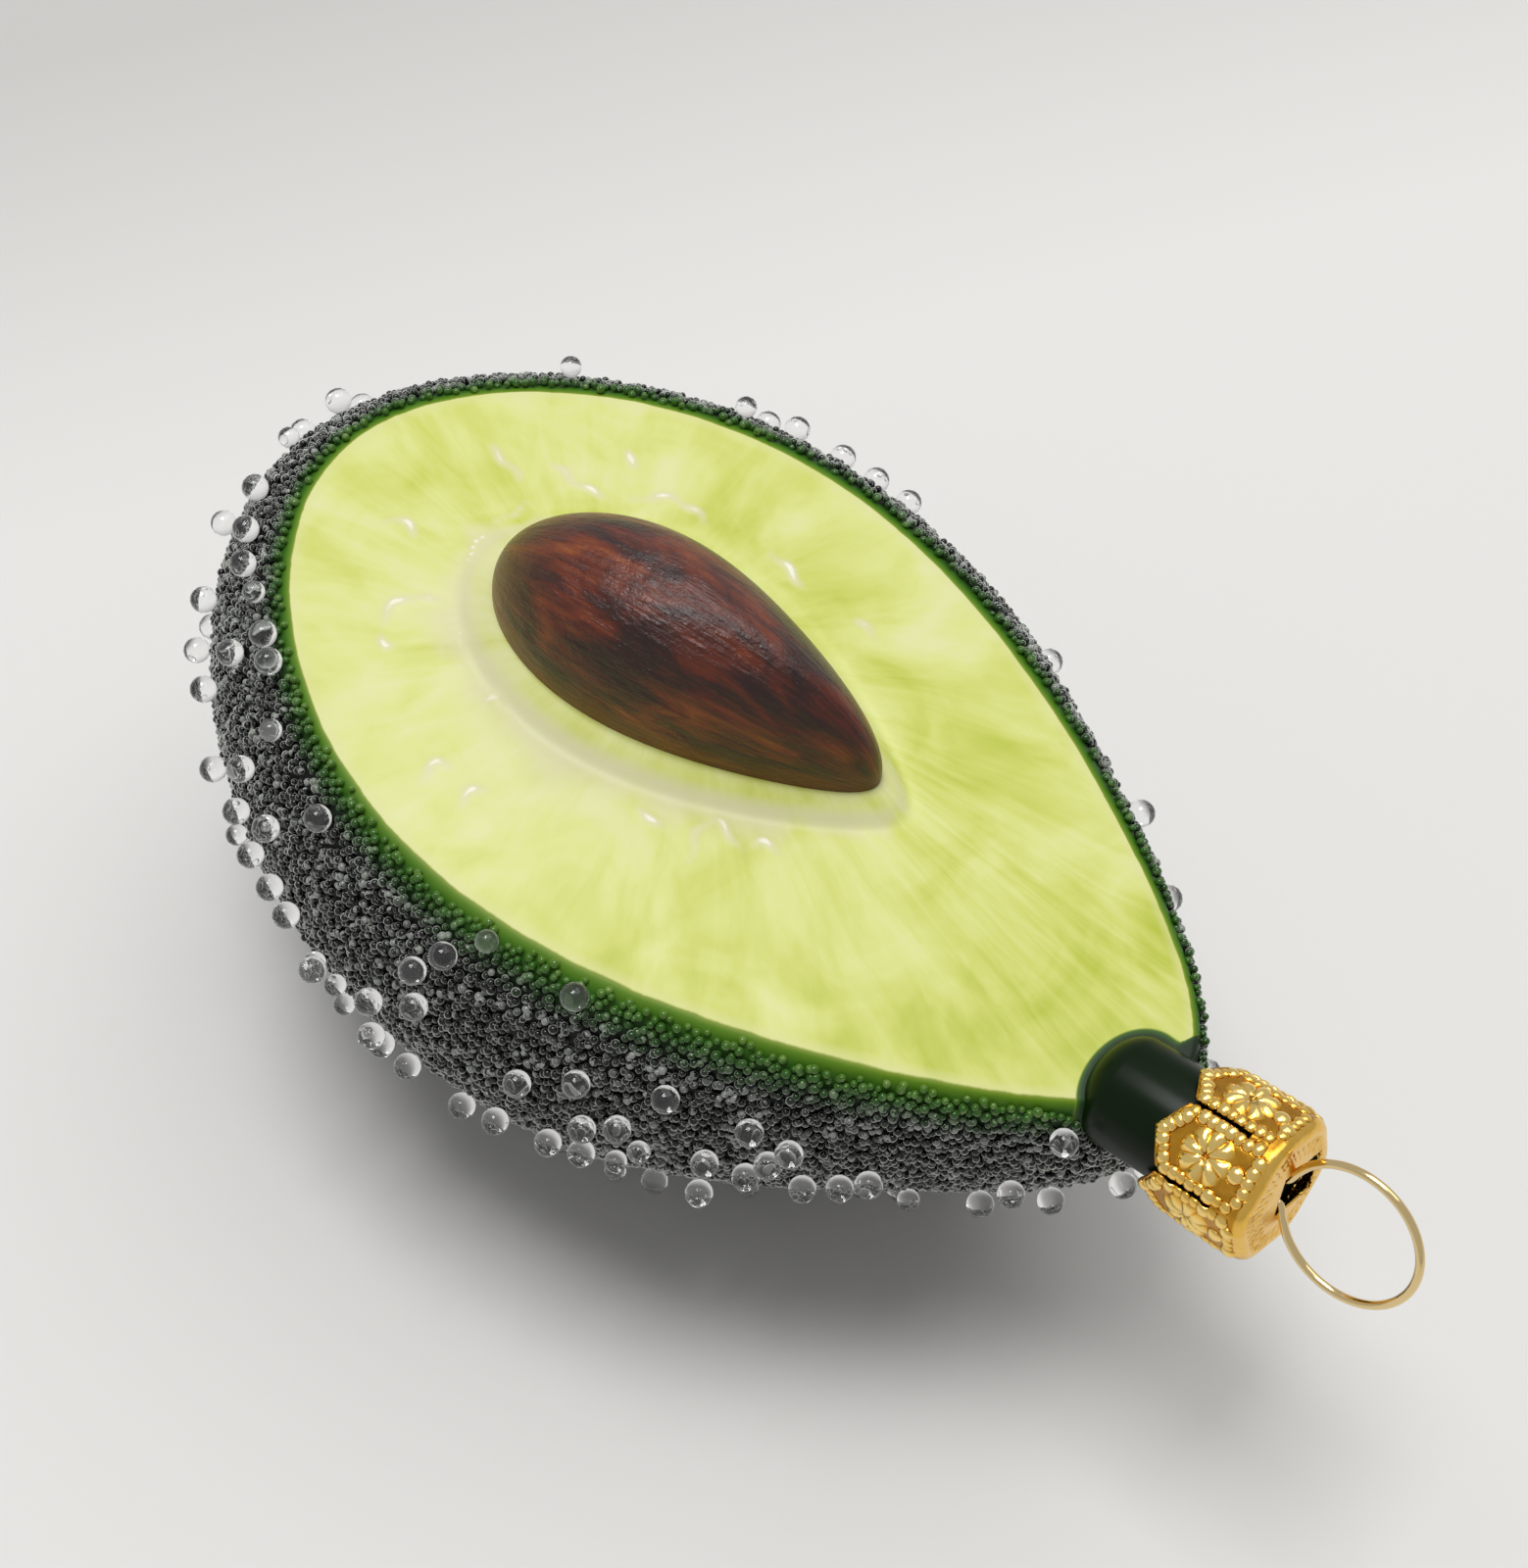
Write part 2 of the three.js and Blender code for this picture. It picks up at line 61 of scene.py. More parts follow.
# The blown glass body
# One thin bubble of clear glass, blown in a mould as half an avocado: a nearly flat cut face with a
# raised seat for the pit, and a round skin. It is brushed with lacquer from outside, pale flesh on
# the face, cream round the pit, green along the edge, and near-black under the beads.

# Millimetres in the ornament's own axes: x from the fat end along the face, y across it and z out
# of it, with the face level at z = 0.
FACE_LENGTH, FACE_HALF_WIDTH, FACE_EGG = 82, 22.9, (0.295, -0.19, -0.078)
FACE_CROWN = 0.7
PIT_LENGTH, PIT_HALF_WIDTH, PIT_EGG = 34.4, 7.5, (0.34, -0.12, -0.06)
PIT_START, PIT_TURN = (17.4, -0.8), np.radians(6.5)
SEAT_HEIGHT, SEAT_WIDTH = 1.8, 3.8
MOAT_AT, MOAT_WIDTH, MOAT_DEPTH = 3.0, 0.8, 0.16
FLESH_STRIP = (1.2, 2.6)  # from the pit, the flesh shows up to the first and fades to the second
RIM_WIDTH, NECK_RIM_WIDTH = 2.1, 1.1
BODY_DEPTH, BELLY_X = 38.7, 37.4
FAT_SWELL, SIDE_SWELL, NECK_SWELL = np.radians((30.5, 33, 11.3))
LACQUER_INSET = 0.7  # from the outside of the bead coat to the lacquer under it
ROLL_LEVEL = 0.09  # the face rolls over into the skin above this level
ROLL_BULGE = 0.9
VEIN_RISE, VEIN_WIDTH = 0.12, 0.42

# The neck leans out of the face and a little to one side. Its own axes start where it starts: along
# it, and across it in two directions.
NECK_START = np.array((77.2, -2.9, -2.2))
NECK_LEAN, NECK_VEER = np.radians((14, 2))
NECK_RADIUS, NECK_BLUNT, NECK_END = 4.4, 3.0, 15.5
HANGER_TURN, HANGER_PIVOT = np.radians(20), 16.0

joints = {joint["name"]: joint for joint in frame["joints"]}
neck_way = np.array(joints["cap_pull"]["axis"])
leg_way = np.array(joints["hanger_tilt"]["axis"])
wing_way = np.cross(leg_way, neck_way)
neck_in_frame = np.array((
    neck_way,
    np.sin(HANGER_TURN) * leg_way + np.cos(HANGER_TURN) * wing_way,
    np.cos(HANGER_TURN) * leg_way - np.sin(HANGER_TURN) * wing_way,
))
veer = np.array((
    (np.cos(NECK_VEER), np.sin(NECK_VEER), 0),
    (-np.sin(NECK_VEER), np.cos(NECK_VEER), 0),
    (0, 0, 1),
))
lean = np.array((
    (np.cos(NECK_LEAN), 0, -np.sin(NECK_LEAN)),
    (0, 1, 0),
    (np.sin(NECK_LEAN), 0, np.cos(NECK_LEAN)),
))
neck_turn = veer @ lean
ornament_in_frame = neck_turn @ neck_in_frame


def on_neck(points):
    """From the neck's own axes to the ornament's: turned by the lean and moved to its start."""
    return NECK_START + np.asarray(points) @ neck_turn.T


def placed(points):
    """From millimetres in the ornament's axes to metres in the frame, by way of the hanger's pivot,
    which both know."""
    pivot = on_neck((HANGER_PIVOT, 0, 0))
    from_pivot = (np.asarray(points) - pivot) @ ornament_in_frame / 1000
    return np.array(joints["hanger_tilt"]["pos_m"]) + from_pivot


def smooth_step(x, start, end):
    """0 before start, 1 after end, and a cubic with level ends between."""
    share = np.clip((x - start) / (end - start), 0, 1)
    return share * share * (3 - 2 * share)


def bump(x, middle, width):
    """A bell of height 1 round the middle, exp(-((x - middle) / width)^2)."""
    return np.exp(-(((x - middle) / width) ** 2))


def egg_outline(t, length, half_width, egg):
    """x runs along the length as a cosine of t, y is a sine of t times a cubic in that cosine."""
    c = np.cos(t)
    share = 1 + egg[0] * c + egg[1] * c**2 + egg[2] * c**3
    return np.stack((length / 2 * (1 - c), half_width * np.sin(t) * share), axis=-1)


def face_outline(t, outward=0):
    """The painted edge of the face, moved out along its normal."""
    step = 1e-4
    ahead = egg_outline(t + step, FACE_LENGTH, FACE_HALF_WIDTH, FACE_EGG)
    behind = egg_outline(t - step, FACE_LENGTH, FACE_HALF_WIDTH, FACE_EGG)
    along = (ahead - behind) / np.linalg.norm(ahead - behind, axis=-1, keepdims=True)
    normal = np.stack((-along[..., 1], along[..., 0]), axis=-1)
    return (ahead + behind) / 2 + normal * np.asarray(outward)[..., None]


def pit_outline(t):
    """The pit's egg, turned and moved to its place on the face."""
    x, y = np.moveaxis(egg_outline(t, PIT_LENGTH, PIT_HALF_WIDTH, PIT_EGG), -1, 0)
    turned_x = x * np.cos(PIT_TURN) - y * np.sin(PIT_TURN)
    turned_y = x * np.sin(PIT_TURN) + y * np.cos(PIT_TURN)
    return np.stack((turned_x, turned_y), axis=-1) + PIT_START


pit_centre = pit_outline(np.array((0, np.pi))).mean(axis=0)


def skin_point(t, level, inset=0):
    """Each way down the skin is an elliptic arc from the rim, level 0, to the bottom, level 1. It
    starts above its widest place by the swell angle, which blends from end to side to end."""
    toward_neck = (1 - np.cos(t)) / 2
    end = np.where(toward_neck < 0.5, FAT_SWELL, NECK_SWELL)
    swell = end + (SIDE_SWELL - end) * np.sin(np.pi * toward_neck) ** 2
    width = RIM_WIDTH + (NECK_RIM_WIDTH - RIM_WIDTH) * toward_neck**8
    arc = -swell + (np.pi / 2 + swell) * level
    reach = np.cos(arc) / np.cos(swell)
    sink = (np.sin(arc) + np.sin(swell)) / (1 + np.sin(swell))
    rim = face_outline(t, width - inset)
    x = BELLY_X + (rim[..., 0] - BELLY_X) * reach
    return np.stack((x, rim[..., 1] * reach, -(BODY_DEPTH - inset) * sink), axis=-1)


def lacquer_point(t, level):
    """The lacquered skin under the beads. From level -ROLL_LEVEL, the edge of the face, to
    ROLL_LEVEL it is a cubic Bezier curve that rolls the flat face over into the skin."""
    t, level = np.broadcast_arrays(t, level)
    skin = skin_point(t, np.maximum(level, ROLL_LEVEL), LACQUER_INSET)
    last = skin_point(t, ROLL_LEVEL, LACQUER_INSET)
    before = skin_point(t, ROLL_LEVEL - 0.06, LACQUER_INSET)
    edge = np.append(face_outline(t), np.zeros((*t.shape, 1)), -1)
    out = np.append(face_outline(t, ROLL_BULGE), np.zeros((*t.shape, 1)), -1)
    a = np.clip((level + ROLL_LEVEL) / (2 * ROLL_LEVEL), 0, 1)[..., None]
    roll = (1 - a) ** 3 * edge + 3 * (1 - a) ** 2 * a * out
    roll = roll + 3 * (1 - a) * a**2 * before + a**3 * last
    return np.where((level < ROLL_LEVEL)[..., None], roll, skin)


def from_neck(points):
    """Distance from the neck's surface, whose blunt start is half an ellipsoid, negative inside."""
    along, across, up = np.moveaxis((points - NECK_START) @ neck_turn, -1, 0)
    before = np.maximum(NECK_BLUNT - along, 0) * NECK_RADIUS / NECK_BLUNT
    return np.sqrt(across**2 + up**2 + before**2) - NECK_RADIUS


# Strokes where the cream lacquer stands up as thick, glossy veins round the pit. Each is a curve
# through three places on the face.
VEINS = (
    ((14.2, -11.1), (13.7, -8.2), (17.3, -5.5)), ((14.7, -11.8), (15.5, -11.9), (16.2, -11.6)),
    ((19.6, -10.4), (18.8, -8.8), (19.2, -7.5)), ((14.8, 5.5), (15.3, -3.7), (22.7, -9.3)),
    ((24.6, -11.3), (24.9, -9.9), (27.7, -10.9)), ((12.8, 9.4), (16.3, 9.1), (19.1, 10.0)),
    ((8.5, 7.2), (10.7, 6.8), (12.5, 6.3)), ((7.6, -3.8), (8.7, -2.9), (10.5, -3.1)),
    ((16.6, 14.1), (17.5, 13.8), (18.4, 13.7)), ((38.8, -10.4), (40.1, -9.9), (41.5, -10.1)),
    ((45.1, -11.2), (43.9, -7.1), (48.0, -8.1)), ((47.9, -6.8), (48.3, -5.6), (50.1, -6.4)),
    ((40.6, 14.1), (41.6, 14.0), (42.9, 13.7)), ((31.5, 14.4), (33.3, 14.2), (36.1, 13.5)),
    ((20.2, 10.5), (23.0, 13.2), (26.8, 12.9)), ((26.0, -19.4), (25.4, -17.5), (26.8, -16.4)),
    ((29.3, -18.5), (29.1, -16.9), (30.0, -16.1)),
)
VEIN_STEPS = 30
VEIN_WOBBLE, WOBBLE_RATE = 0.2, 2.3  # millimetres, and radians for each millimetre


def veins(xy):
    """How much of a vein is at each place: a bell of the distance from the nearest curve. A curve
    is the parabola through its three places, and its wobble and fading are sines along it."""
    start, middle, end = np.moveaxis(np.array(VEINS), 1, 0)[:, :, None]
    s = np.linspace(0, 1, VEIN_STEPS)[:, None]
    curve = start * (1 - s) * (1 - 2 * s) + middle * 4 * s * (1 - s) + end * s * (2 * s - 1)
    curve = curve + VEIN_WOBBLE * np.sin(curve[..., ::-1] * WOBBLE_RATE)
    strength = 0.75 + 0.25 * np.sin(curve[..., :1] * 1.9 + curve[..., 1:] * 1.3)
    strength = strength * np.sin(np.pi * s) ** 0.5
    found = np.zeros(xy.shape[:-1])
    for place, weight in zip(curve.reshape(-1, 2), strength[..., 0].ravel()):
        away = np.hypot(xy[..., 0] - place[0], xy[..., 1] - place[1])
        found = np.maximum(found, weight * bump(away, 0, VEIN_WIDTH))
    return found


def face_height(from_pit, share):
    """The low crown of the face, the seat of the pit, and a shallow moat round the seat."""
    crown = FACE_CROWN * (1 - share**2)
    seat = (SEAT_HEIGHT - FACE_CROWN) * (1 - smooth_step(from_pit, 0, SEAT_WIDTH))
    moat = MOAT_DEPTH * bump(from_pit, MOAT_AT, MOAT_WIDTH) * smooth_step(from_pit, 0, 0.8)
    return crown + seat - moat


def grid_faces(rows, columns):
    """Quads between neighbouring rows of a grid of points, whose last column joins its first."""
    row, column = np.meshgrid(np.arange(rows - 1), np.arange(columns), indexing="ij")
    right = (column + 1) % columns
    corners = (
        row * columns + column, row * columns + right,
        (row + 1) * columns + right, (row + 1) * columns + column,
    )
    return np.stack(corners, axis=-1).reshape(-1, 4)


def pole_faces(ring, pole, flip=False):
    """Triangles from a ring of point numbers to one pole."""
    fan = np.stack((ring, np.roll(ring, -1), np.full_like(ring, pole)), axis=-1)
    return fan[:, ::-1] if flip else fan


def make_piece(name, points, *faces, body="glass", slot=None, replaces=(), attributes=None):
    """A smooth mesh from points in millimetres and arrays of faces, placed in the frame. It rides
    on a body, stands for CAD nodes and may carry values at its points. The slot is not used."""
    mesh = bpy.data.meshes.new(name)
    sizes = np.concatenate([np.full(len(f), f.shape[1]) for f in faces])
    corners = np.concatenate([f.ravel() for f in faces])
    mesh.vertices.add(len(points))
    mesh.vertices.foreach_set("co", placed(points).astype(np.float32).ravel())
    mesh.loops.add(len(corners))
    mesh.loops.foreach_set("vertex_index", corners.astype(np.int32))
    mesh.polygons.add(len(sizes))
    mesh.polygons.foreach_set("loop_start", (np.cumsum(sizes) - sizes).astype(np.int32))
    mesh.update(calc_edges=True)
    mesh.shade_smooth()
    for label, values in (attributes or {}).items():
        kind, field = ("FLOAT", "value") if values.ndim == 1 else ("FLOAT_VECTOR", "vector")
        layer = mesh.attributes.new(label, kind, "POINT")
        layer.data.foreach_set(field, values.astype(np.float32).ravel())
    piece = bpy.data.objects.new(name, mesh)
    bpy.context.scene.collection.objects.link(piece)
    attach(piece, body)
    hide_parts(*replaces)
    return piece


def linear(hex_colour):
    """An sRGB hex colour as linear RGBA."""
    srgb = np.array([int(hex_colour[i : i + 2], 16) / 255 for i in (1, 3, 5)])
    rgb = np.where(srgb <= 0.04045, srgb / 12.92, ((srgb + 0.055) / 1.055) ** 2.4)
    return (*rgb.tolist(), 1.0)


def new_material(name):
    """A node material with nothing in it."""
    material = bpy.data.materials.new(name)
    material.use_nodes = True
    material.node_tree.nodes.clear()
    return material


def add_node(tree, kind, settings=None, stops=(), **inputs):
    """Adds a node to a tree. Settings are its properties, stops the places and hex colours of a
    ramp. Each input is a value or the socket that feeds it, by the input's name with _ for a space,
    or by its number after an i."""
    node = tree.nodes.new("ShaderNode" + kind)
    for key, value in (settings or {}).items():
        setattr(node, key, value)
    for _ in stops[2:]:
        node.color_ramp.elements.new(0.5)
    for element, (place, hex_colour) in zip(node.color_ramp.elements if stops else (), stops):
        element.position, element.color = place, linear(hex_colour)
    for key, value in inputs.items():
        by_number = key[0] == "i" and key[1:].isdigit()
        socket = node.inputs[int(key[1:])] if by_number else node.inputs[key.replace("_", " ")]
        if isinstance(value, bpy.types.NodeSocket):
            tree.links.new(value, socket)
        else:
            socket.default_value = value
    return node


AROUND = 420
SEAT_RINGS, FACE_RINGS, ROLL_RINGS, SKIN_RINGS = 3, 120, 24, 56
around = np.linspace(0, 2 * np.pi, AROUND, endpoint=False)

share = np.linspace(0, 1, FACE_RINGS)[:, None] ** 1.2
span = np.linalg.norm(face_outline(around) - pit_outline(around), axis=-1)
face_xy = pit_outline(around) + share[..., None] * (face_outline(around) - pit_outline(around))
vein = veins(face_xy)
face_z = face_height(share * span, share) + VEIN_RISE * vein * (1 - share**6)
face_rows = np.append(face_xy, face_z[..., None], -1)
seat_share = np.linspace(0.3, 0.95, SEAT_RINGS)[:, None, None]
seat_xy = pit_centre + seat_share * (pit_outline(around) - pit_centre)
seat_rows = np.append(seat_xy, np.full((SEAT_RINGS, AROUND, 1), SEAT_HEIGHT), -1)
roll_levels = np.linspace(-ROLL_LEVEL, ROLL_LEVEL, ROLL_RINGS + 1)[1:]
levels = np.append(roll_levels, np.linspace(ROLL_LEVEL, 1, SKIN_RINGS + 2)[1:-1])
skin_rows = lacquer_point(around, levels[:, None])
body_rows = np.concatenate((seat_rows, face_rows, skin_rows))
poles = np.array(((*pit_centre, SEAT_HEIGHT), (BELLY_X, 0, LACQUER_INSET - BODY_DEPTH)))
body_points = np.concatenate((body_rows.reshape(-1, 3), poles))
rings = len(body_rows)

# The paint is laid out by distances in millimetres along each way down: from the pit, and from the
# edge of the face, negative inside it. The green edge is wider on one side and toward the neck. The
# cream lies in a wavy ring round the pit, most of it off a strip of flesh, and on the veins.
steps = np.linalg.norm(np.diff(body_rows, axis=0), axis=-1)
down = np.concatenate((np.zeros((1, AROUND)), np.cumsum(steps, axis=0)))
from_edge = down - down[SEAT_RINGS + FACE_RINGS - 1]
from_pit = down - down[SEAT_RINGS]
wider = smooth_step(-np.sin(around), -0.2, 0.8) * smooth_step(-np.cos(around), -1, 0.2)
band_width = 2.4 + 2.4 * wider
rim = from_edge / band_width
waves = 0.13 * np.sin(9 * around + 1) + 0.1 * np.sin(17 * around) + 0.06 * np.sin(31 * around)
cream_width = (3.1 - 1.5 * np.sin(around) + 0.5 * np.cos(around)) * (1 + waves)
cream = 1 - smooth_step(from_pit / cream_width, 0.6, 1.5)
flesh_share = 0.25 + 0.65 * (1 + np.sin(-around - 0.4)) / 2
cream = cream * (1 - flesh_share * (1 - smooth_step(from_pit, *FLESH_STRIP)))
on_face = slice(SEAT_RINGS, SEAT_RINGS + FACE_RINGS)
cream[on_face] = np.maximum(cream[on_face], 1.5 * vein)
BRUSH_CIRCLE = 20  # radius in millimetres of the circle on which the brush noise is read
brush = np.stack((
    np.broadcast_to(BRUSH_CIRCLE * np.cos(around), down.shape),
    np.broadcast_to(BRUSH_CIRCLE * np.sin(around), down.shape), from_pit), axis=-1)
# The darker green round the neck also fills the tip of the face behind it.
tip = 2 * smooth_step(body_rows[..., 0], 80.6, 81.6)
neck_edge = from_neck(body_rows) - tip


def with_poles(values):
    """Adds values for the two poles, those of the nearest rings."""
    flat = values.reshape(rings * AROUND, -1)
    return np.concatenate((flat, flat[:1], flat[-1:])).squeeze()


glass_body = make_piece(
    "glass_body_painted", body_points,
    grid_faces(rings, AROUND)[:, ::-1],
    pole_faces(np.arange(AROUND), rings * AROUND, flip=True),
    pole_faces(np.arange(AROUND) + (rings - 1) * AROUND, rings * AROUND + 1),
    slot="painted_glass", replaces=["glass_body"],
    attributes={
        "from_edge": with_poles(from_edge), "rim": with_poles(rim), "cream": with_poles(cream),
        "brush": with_poles(brush), "neck_edge": with_poles(neck_edge),
    },
)

# Brushed lacquer on glass: thin coats laid on with a soft brush from the pit outwards, so that the
# flesh shows soft watery streaks of cream and green, under a satin gloss that follows the strokes.
flesh = new_material("brushed_lacquer_on_glass")
tree = flesh.node_tree
edge_mm = add_node(tree, "Attribute", {"attribute_name": "from_edge"}).outputs["Fac"]
rim_share = add_node(tree, "Attribute", {"attribute_name": "rim"}).outputs["Fac"]
cream_share = add_node(tree, "Attribute", {"attribute_name": "cream"}).outputs["Fac"]
neck_mm = add_node(tree, "Attribute", {"attribute_name": "neck_edge"}).outputs["Fac"]
brush_at = add_node(tree, "Attribute", {"attribute_name": "brush"}).outputs["Vector"]
place = add_node(tree, "TexCoord").outputs["Object"]
stroke_at = add_node(tree, "Mapping", Vector=brush_at, Scale=(0.5, 0.5, 0.1)).outputs[0]
strokes = add_node(
    tree, "TexNoise", Vector=stroke_at, Scale=1, Detail=5, Roughness=0.55,
    Distortion=0.5).outputs[0]
patches = add_node(
    tree, "TexNoise", Vector=place, Scale=110, Detail=3, Roughness=0.5, Distortion=0.8).outputs[0]
mixed = add_node(
    tree, "Math", {"operation": "MULTIPLY_ADD"}, i0=strokes, i1=0.6, i2=patches).outputs[0]
greener = add_node(tree, "MapRange", Value=neck_mm, i1=55, i2=8, i3=-0.08, i4=0.1).outputs[0]
mixed = add_node(tree, "Math", {"operation": "ADD"}, i0=mixed, i1=greener).outputs[0]
wash = add_node(tree, "MapRange", Value=mixed, i1=0.5, i2=1.1).outputs[0]
flesh_colour = add_node(
    tree, "ValToRGB", Fac=wash,
    stops=((0.0, "#e9ecaa"), (0.3, "#e2e88f"), (0.6, "#d6dd70"), (1.0, "#bbc83a"))).outputs[0]
creamy = add_node(tree, "MapRange", Value=cream_share, i1=0.1, i2=1.0, i4=0.85).outputs[0]
with_cream = add_node(
    tree, "Mix", {"data_type": "RGBA"}, i0=creamy, i6=flesh_colour, i7=linear("#e6e3b8")).outputs[2]
# The veins are cream lacquer, painted whiter still as a painted highlight for the glints on their
# glossy ridges.
vein_cream_and_painted_glint = add_node(tree, "MapRange", Value=cream_share, i1=1.0, i2=1.3).outputs[0]
with_veins = add_node(
    tree, "Mix", {"data_type": "RGBA"}, i0=vein_cream_and_painted_glint, i6=with_cream,
    i7=linear("#fbfbe6")).outputs[2]
edge_light = add_node(tree, "MapRange", Value=edge_mm, i1=-1.1, i2=-0.2, i4=0.5).outputs[0]
with_edge = add_node(
    tree, "Mix", {"data_type": "RGBA"}, i0=edge_light, i6=with_veins,
    i7=linear("#e5e5a4")).outputs[2]
wavy_rim = add_node(
    tree, "Math", {"operation": "MULTIPLY_ADD"}, i0=strokes, i1=0.12, i2=rim_share).outputs[0]
rim_colour = add_node(
    tree, "ValToRGB", Fac=wavy_rim,
    stops=((0.06, "#87991c"), (0.15, "#5c8412"), (0.34, "#33660b"), (0.58, "#1c420a"),
           (0.82, "#0c1e08"), (1.0, "#080a08"))).outputs[0]
is_rim = add_node(tree, "MapRange", Value=wavy_rim, i1=0.045, i2=0.085).outputs[0]
painted = add_node(
    tree, "Mix", {"data_type": "RGBA"}, i0=is_rim, i6=with_edge, i7=rim_colour).outputs[2]
neck_green = add_node(
    tree, "ValToRGB", Fac=add_node(tree, "MapRange", Value=neck_mm, i1=-0.6, i2=0.75).outputs[0],
    stops=((0.0, "#0c2207"), (0.6, "#153408"), (0.84, "#35600f"), (1.0, "#93a42c"))).outputs[0]
is_neck = add_node(tree, "MapRange", Value=neck_mm, i1=0.62, i2=0.78, i3=1.0, i4=0.0).outputs[0]
paint = add_node(
    tree, "Mix", {"data_type": "RGBA"}, i0=is_neck, i6=painted, i7=neck_green).outputs[2]
ridges = add_node(tree, "Bump", Strength=0.2, Distance=0.0002, Height=strokes).outputs[0]
gloss = add_node(tree, "MapRange", Value=is_rim, i3=0.42, i4=0.5).outputs[0]
lacquer = add_node(
    tree, "BsdfPrincipled", Base_Color=paint, Roughness=gloss, Normal=ridges,
    Specular_IOR_Level=0.3)
add_node(tree, "OutputMaterial", Surface=lacquer.outputs[0])
glass_body.data.materials.append(flesh)

# The neck is the same glass drawn out to a tube, rounded where it starts on the face, and dipped in
# dark green lacquer.


def turned(profile, sides):
    """A profile of distance along the neck and radius, carried round the neck's axis."""
    along, radius = np.asarray(profile, float).T[..., None]
    a = np.linspace(0, 2 * np.pi, sides, endpoint=False)
    rows = np.stack(np.broadcast_arrays(along, radius * np.cos(a), radius * np.sin(a)), axis=-1)
    return rows.reshape(-1, 3), grid_faces(len(along), sides)


GLASS_WALL, LIP = 0.8, 0.4
quarter = np.linspace(0.02, np.pi / 2, 18)
blunt = np.stack((NECK_BLUNT * (1 - np.cos(quarter)), NECK_RADIUS * np.sin(quarter)), axis=-1)
tube = (
    (NECK_END - LIP, NECK_RADIUS), (NECK_END - 0.12, NECK_RADIUS - 0.12),
    (NECK_END, NECK_RADIUS - LIP),
    (NECK_END - LIP, NECK_RADIUS - GLASS_WALL), (NECK_BLUNT + 1, NECK_RADIUS - GLASS_WALL),
    (NECK_BLUNT, NECK_RADIUS - 2), (NECK_BLUNT - 0.4, 0.02),
)
neck_points, neck_faces = turned(np.concatenate((blunt, tube)), 72)
neck = make_piece(
    "glass_neck", on_neck(neck_points), neck_faces, slot="painted_glass", replaces=["glass_body"],
    attributes={"from_start": neck_points[:, 0] / NECK_BLUNT})

# Dipped lacquer, glassy smooth. It is thin and leaf green where it starts on the face.
dipped = new_material("dipped_green_lacquer")
tree = dipped.node_tree
from_start = add_node(tree, "Attribute", {"attribute_name": "from_start"}).outputs["Fac"]
neck_colour = add_node(
    tree, "ValToRGB", Fac=from_start,
    stops=((0.0, "#1f4a0c"), (0.3, "#123008"), (0.6, "#0c2207"), (1.0, "#0a1b06"))).outputs[0]
smooth_lacquer = add_node(
    tree, "BsdfPrincipled", Base_Color=neck_colour, Roughness=0.28, Specular_IOR_Level=0.14)
add_node(tree, "OutputMaterial", Surface=smooth_lacquer.outputs[0])
neck.data.materials.append(dipped)


# The pit
# A blown dome, half an egg, standing on the raised seat of the face. It is painted brown by hand
# with a stiff brush along its length, in several streaky coats under gloss lacquer.

PIT_HEIGHT = 10.33
PIT_FOOT, PIT_SUNK = 0.3, 0.6  # the foot's height over the seat, and its depth in the seat
PIT_RINGS, PIT_AROUND = 60, 200
pit_t = np.linspace(0, 2 * np.pi, PIT_AROUND, endpoint=False)
climb = np.linspace(0, np.pi / 2, PIT_RINGS + 1)[:-1, None]
pit_xy = pit_centre + (pit_outline(pit_t) - pit_centre) * np.cos(climb)[..., None]
dome_start = SEAT_HEIGHT + PIT_FOOT
pit_z = np.broadcast_to(dome_start + PIT_HEIGHT * np.sin(climb), pit_xy.shape[:2])
foot_levels = np.array((SEAT_HEIGHT - PIT_SUNK, SEAT_HEIGHT))
foot_z = foot_levels[:, None, None] + np.zeros((2, PIT_AROUND, 1))
foot_rows = np.append(np.broadcast_to(pit_outline(pit_t), (2, PIT_AROUND, 2)), foot_z, -1)
pit_rows = np.concatenate((foot_rows, np.append(pit_xy, pit_z[..., None], -1)))
pit_poles = np.array(((*pit_centre, dome_start + PIT_HEIGHT), (*pit_centre, foot_levels[0])))
pit_points = np.concatenate((pit_rows.reshape(-1, 3), pit_poles))
pit_count = len(pit_rows) * PIT_AROUND
pit_way = np.array((np.cos(PIT_TURN), np.sin(PIT_TURN)))
pit_along = (pit_points[:, :2] - pit_centre) @ pit_way
pit_beside = (pit_points[:, :2] - pit_centre) @ (-pit_way[1], pit_way[0])
pit_lean = np.arctan2(pit_points[:, 2] - SEAT_HEIGHT, pit_beside)
grain_round = PIT_HALF_WIDTH * np.stack((np.cos(pit_lean), np.sin(pit_lean)), axis=-1)
pit = make_piece(
    "pit_painted", pit_points,
    grid_faces(len(pit_rows), PIT_AROUND),
    pole_faces(np.arange(PIT_AROUND) + pit_count - PIT_AROUND, pit_count),
    pole_faces(np.arange(PIT_AROUND), pit_count + 1, flip=True),
    slot="brown_paint", replaces=["pit_shell"],
    attributes={
        "grain": np.column_stack((pit_along, grain_round)),
        "height": pit_points[:, 2] - SEAT_HEIGHT,
        "blunt": smooth_step(-pit_along / PIT_LENGTH, 0.25, 0.5),
    },
)

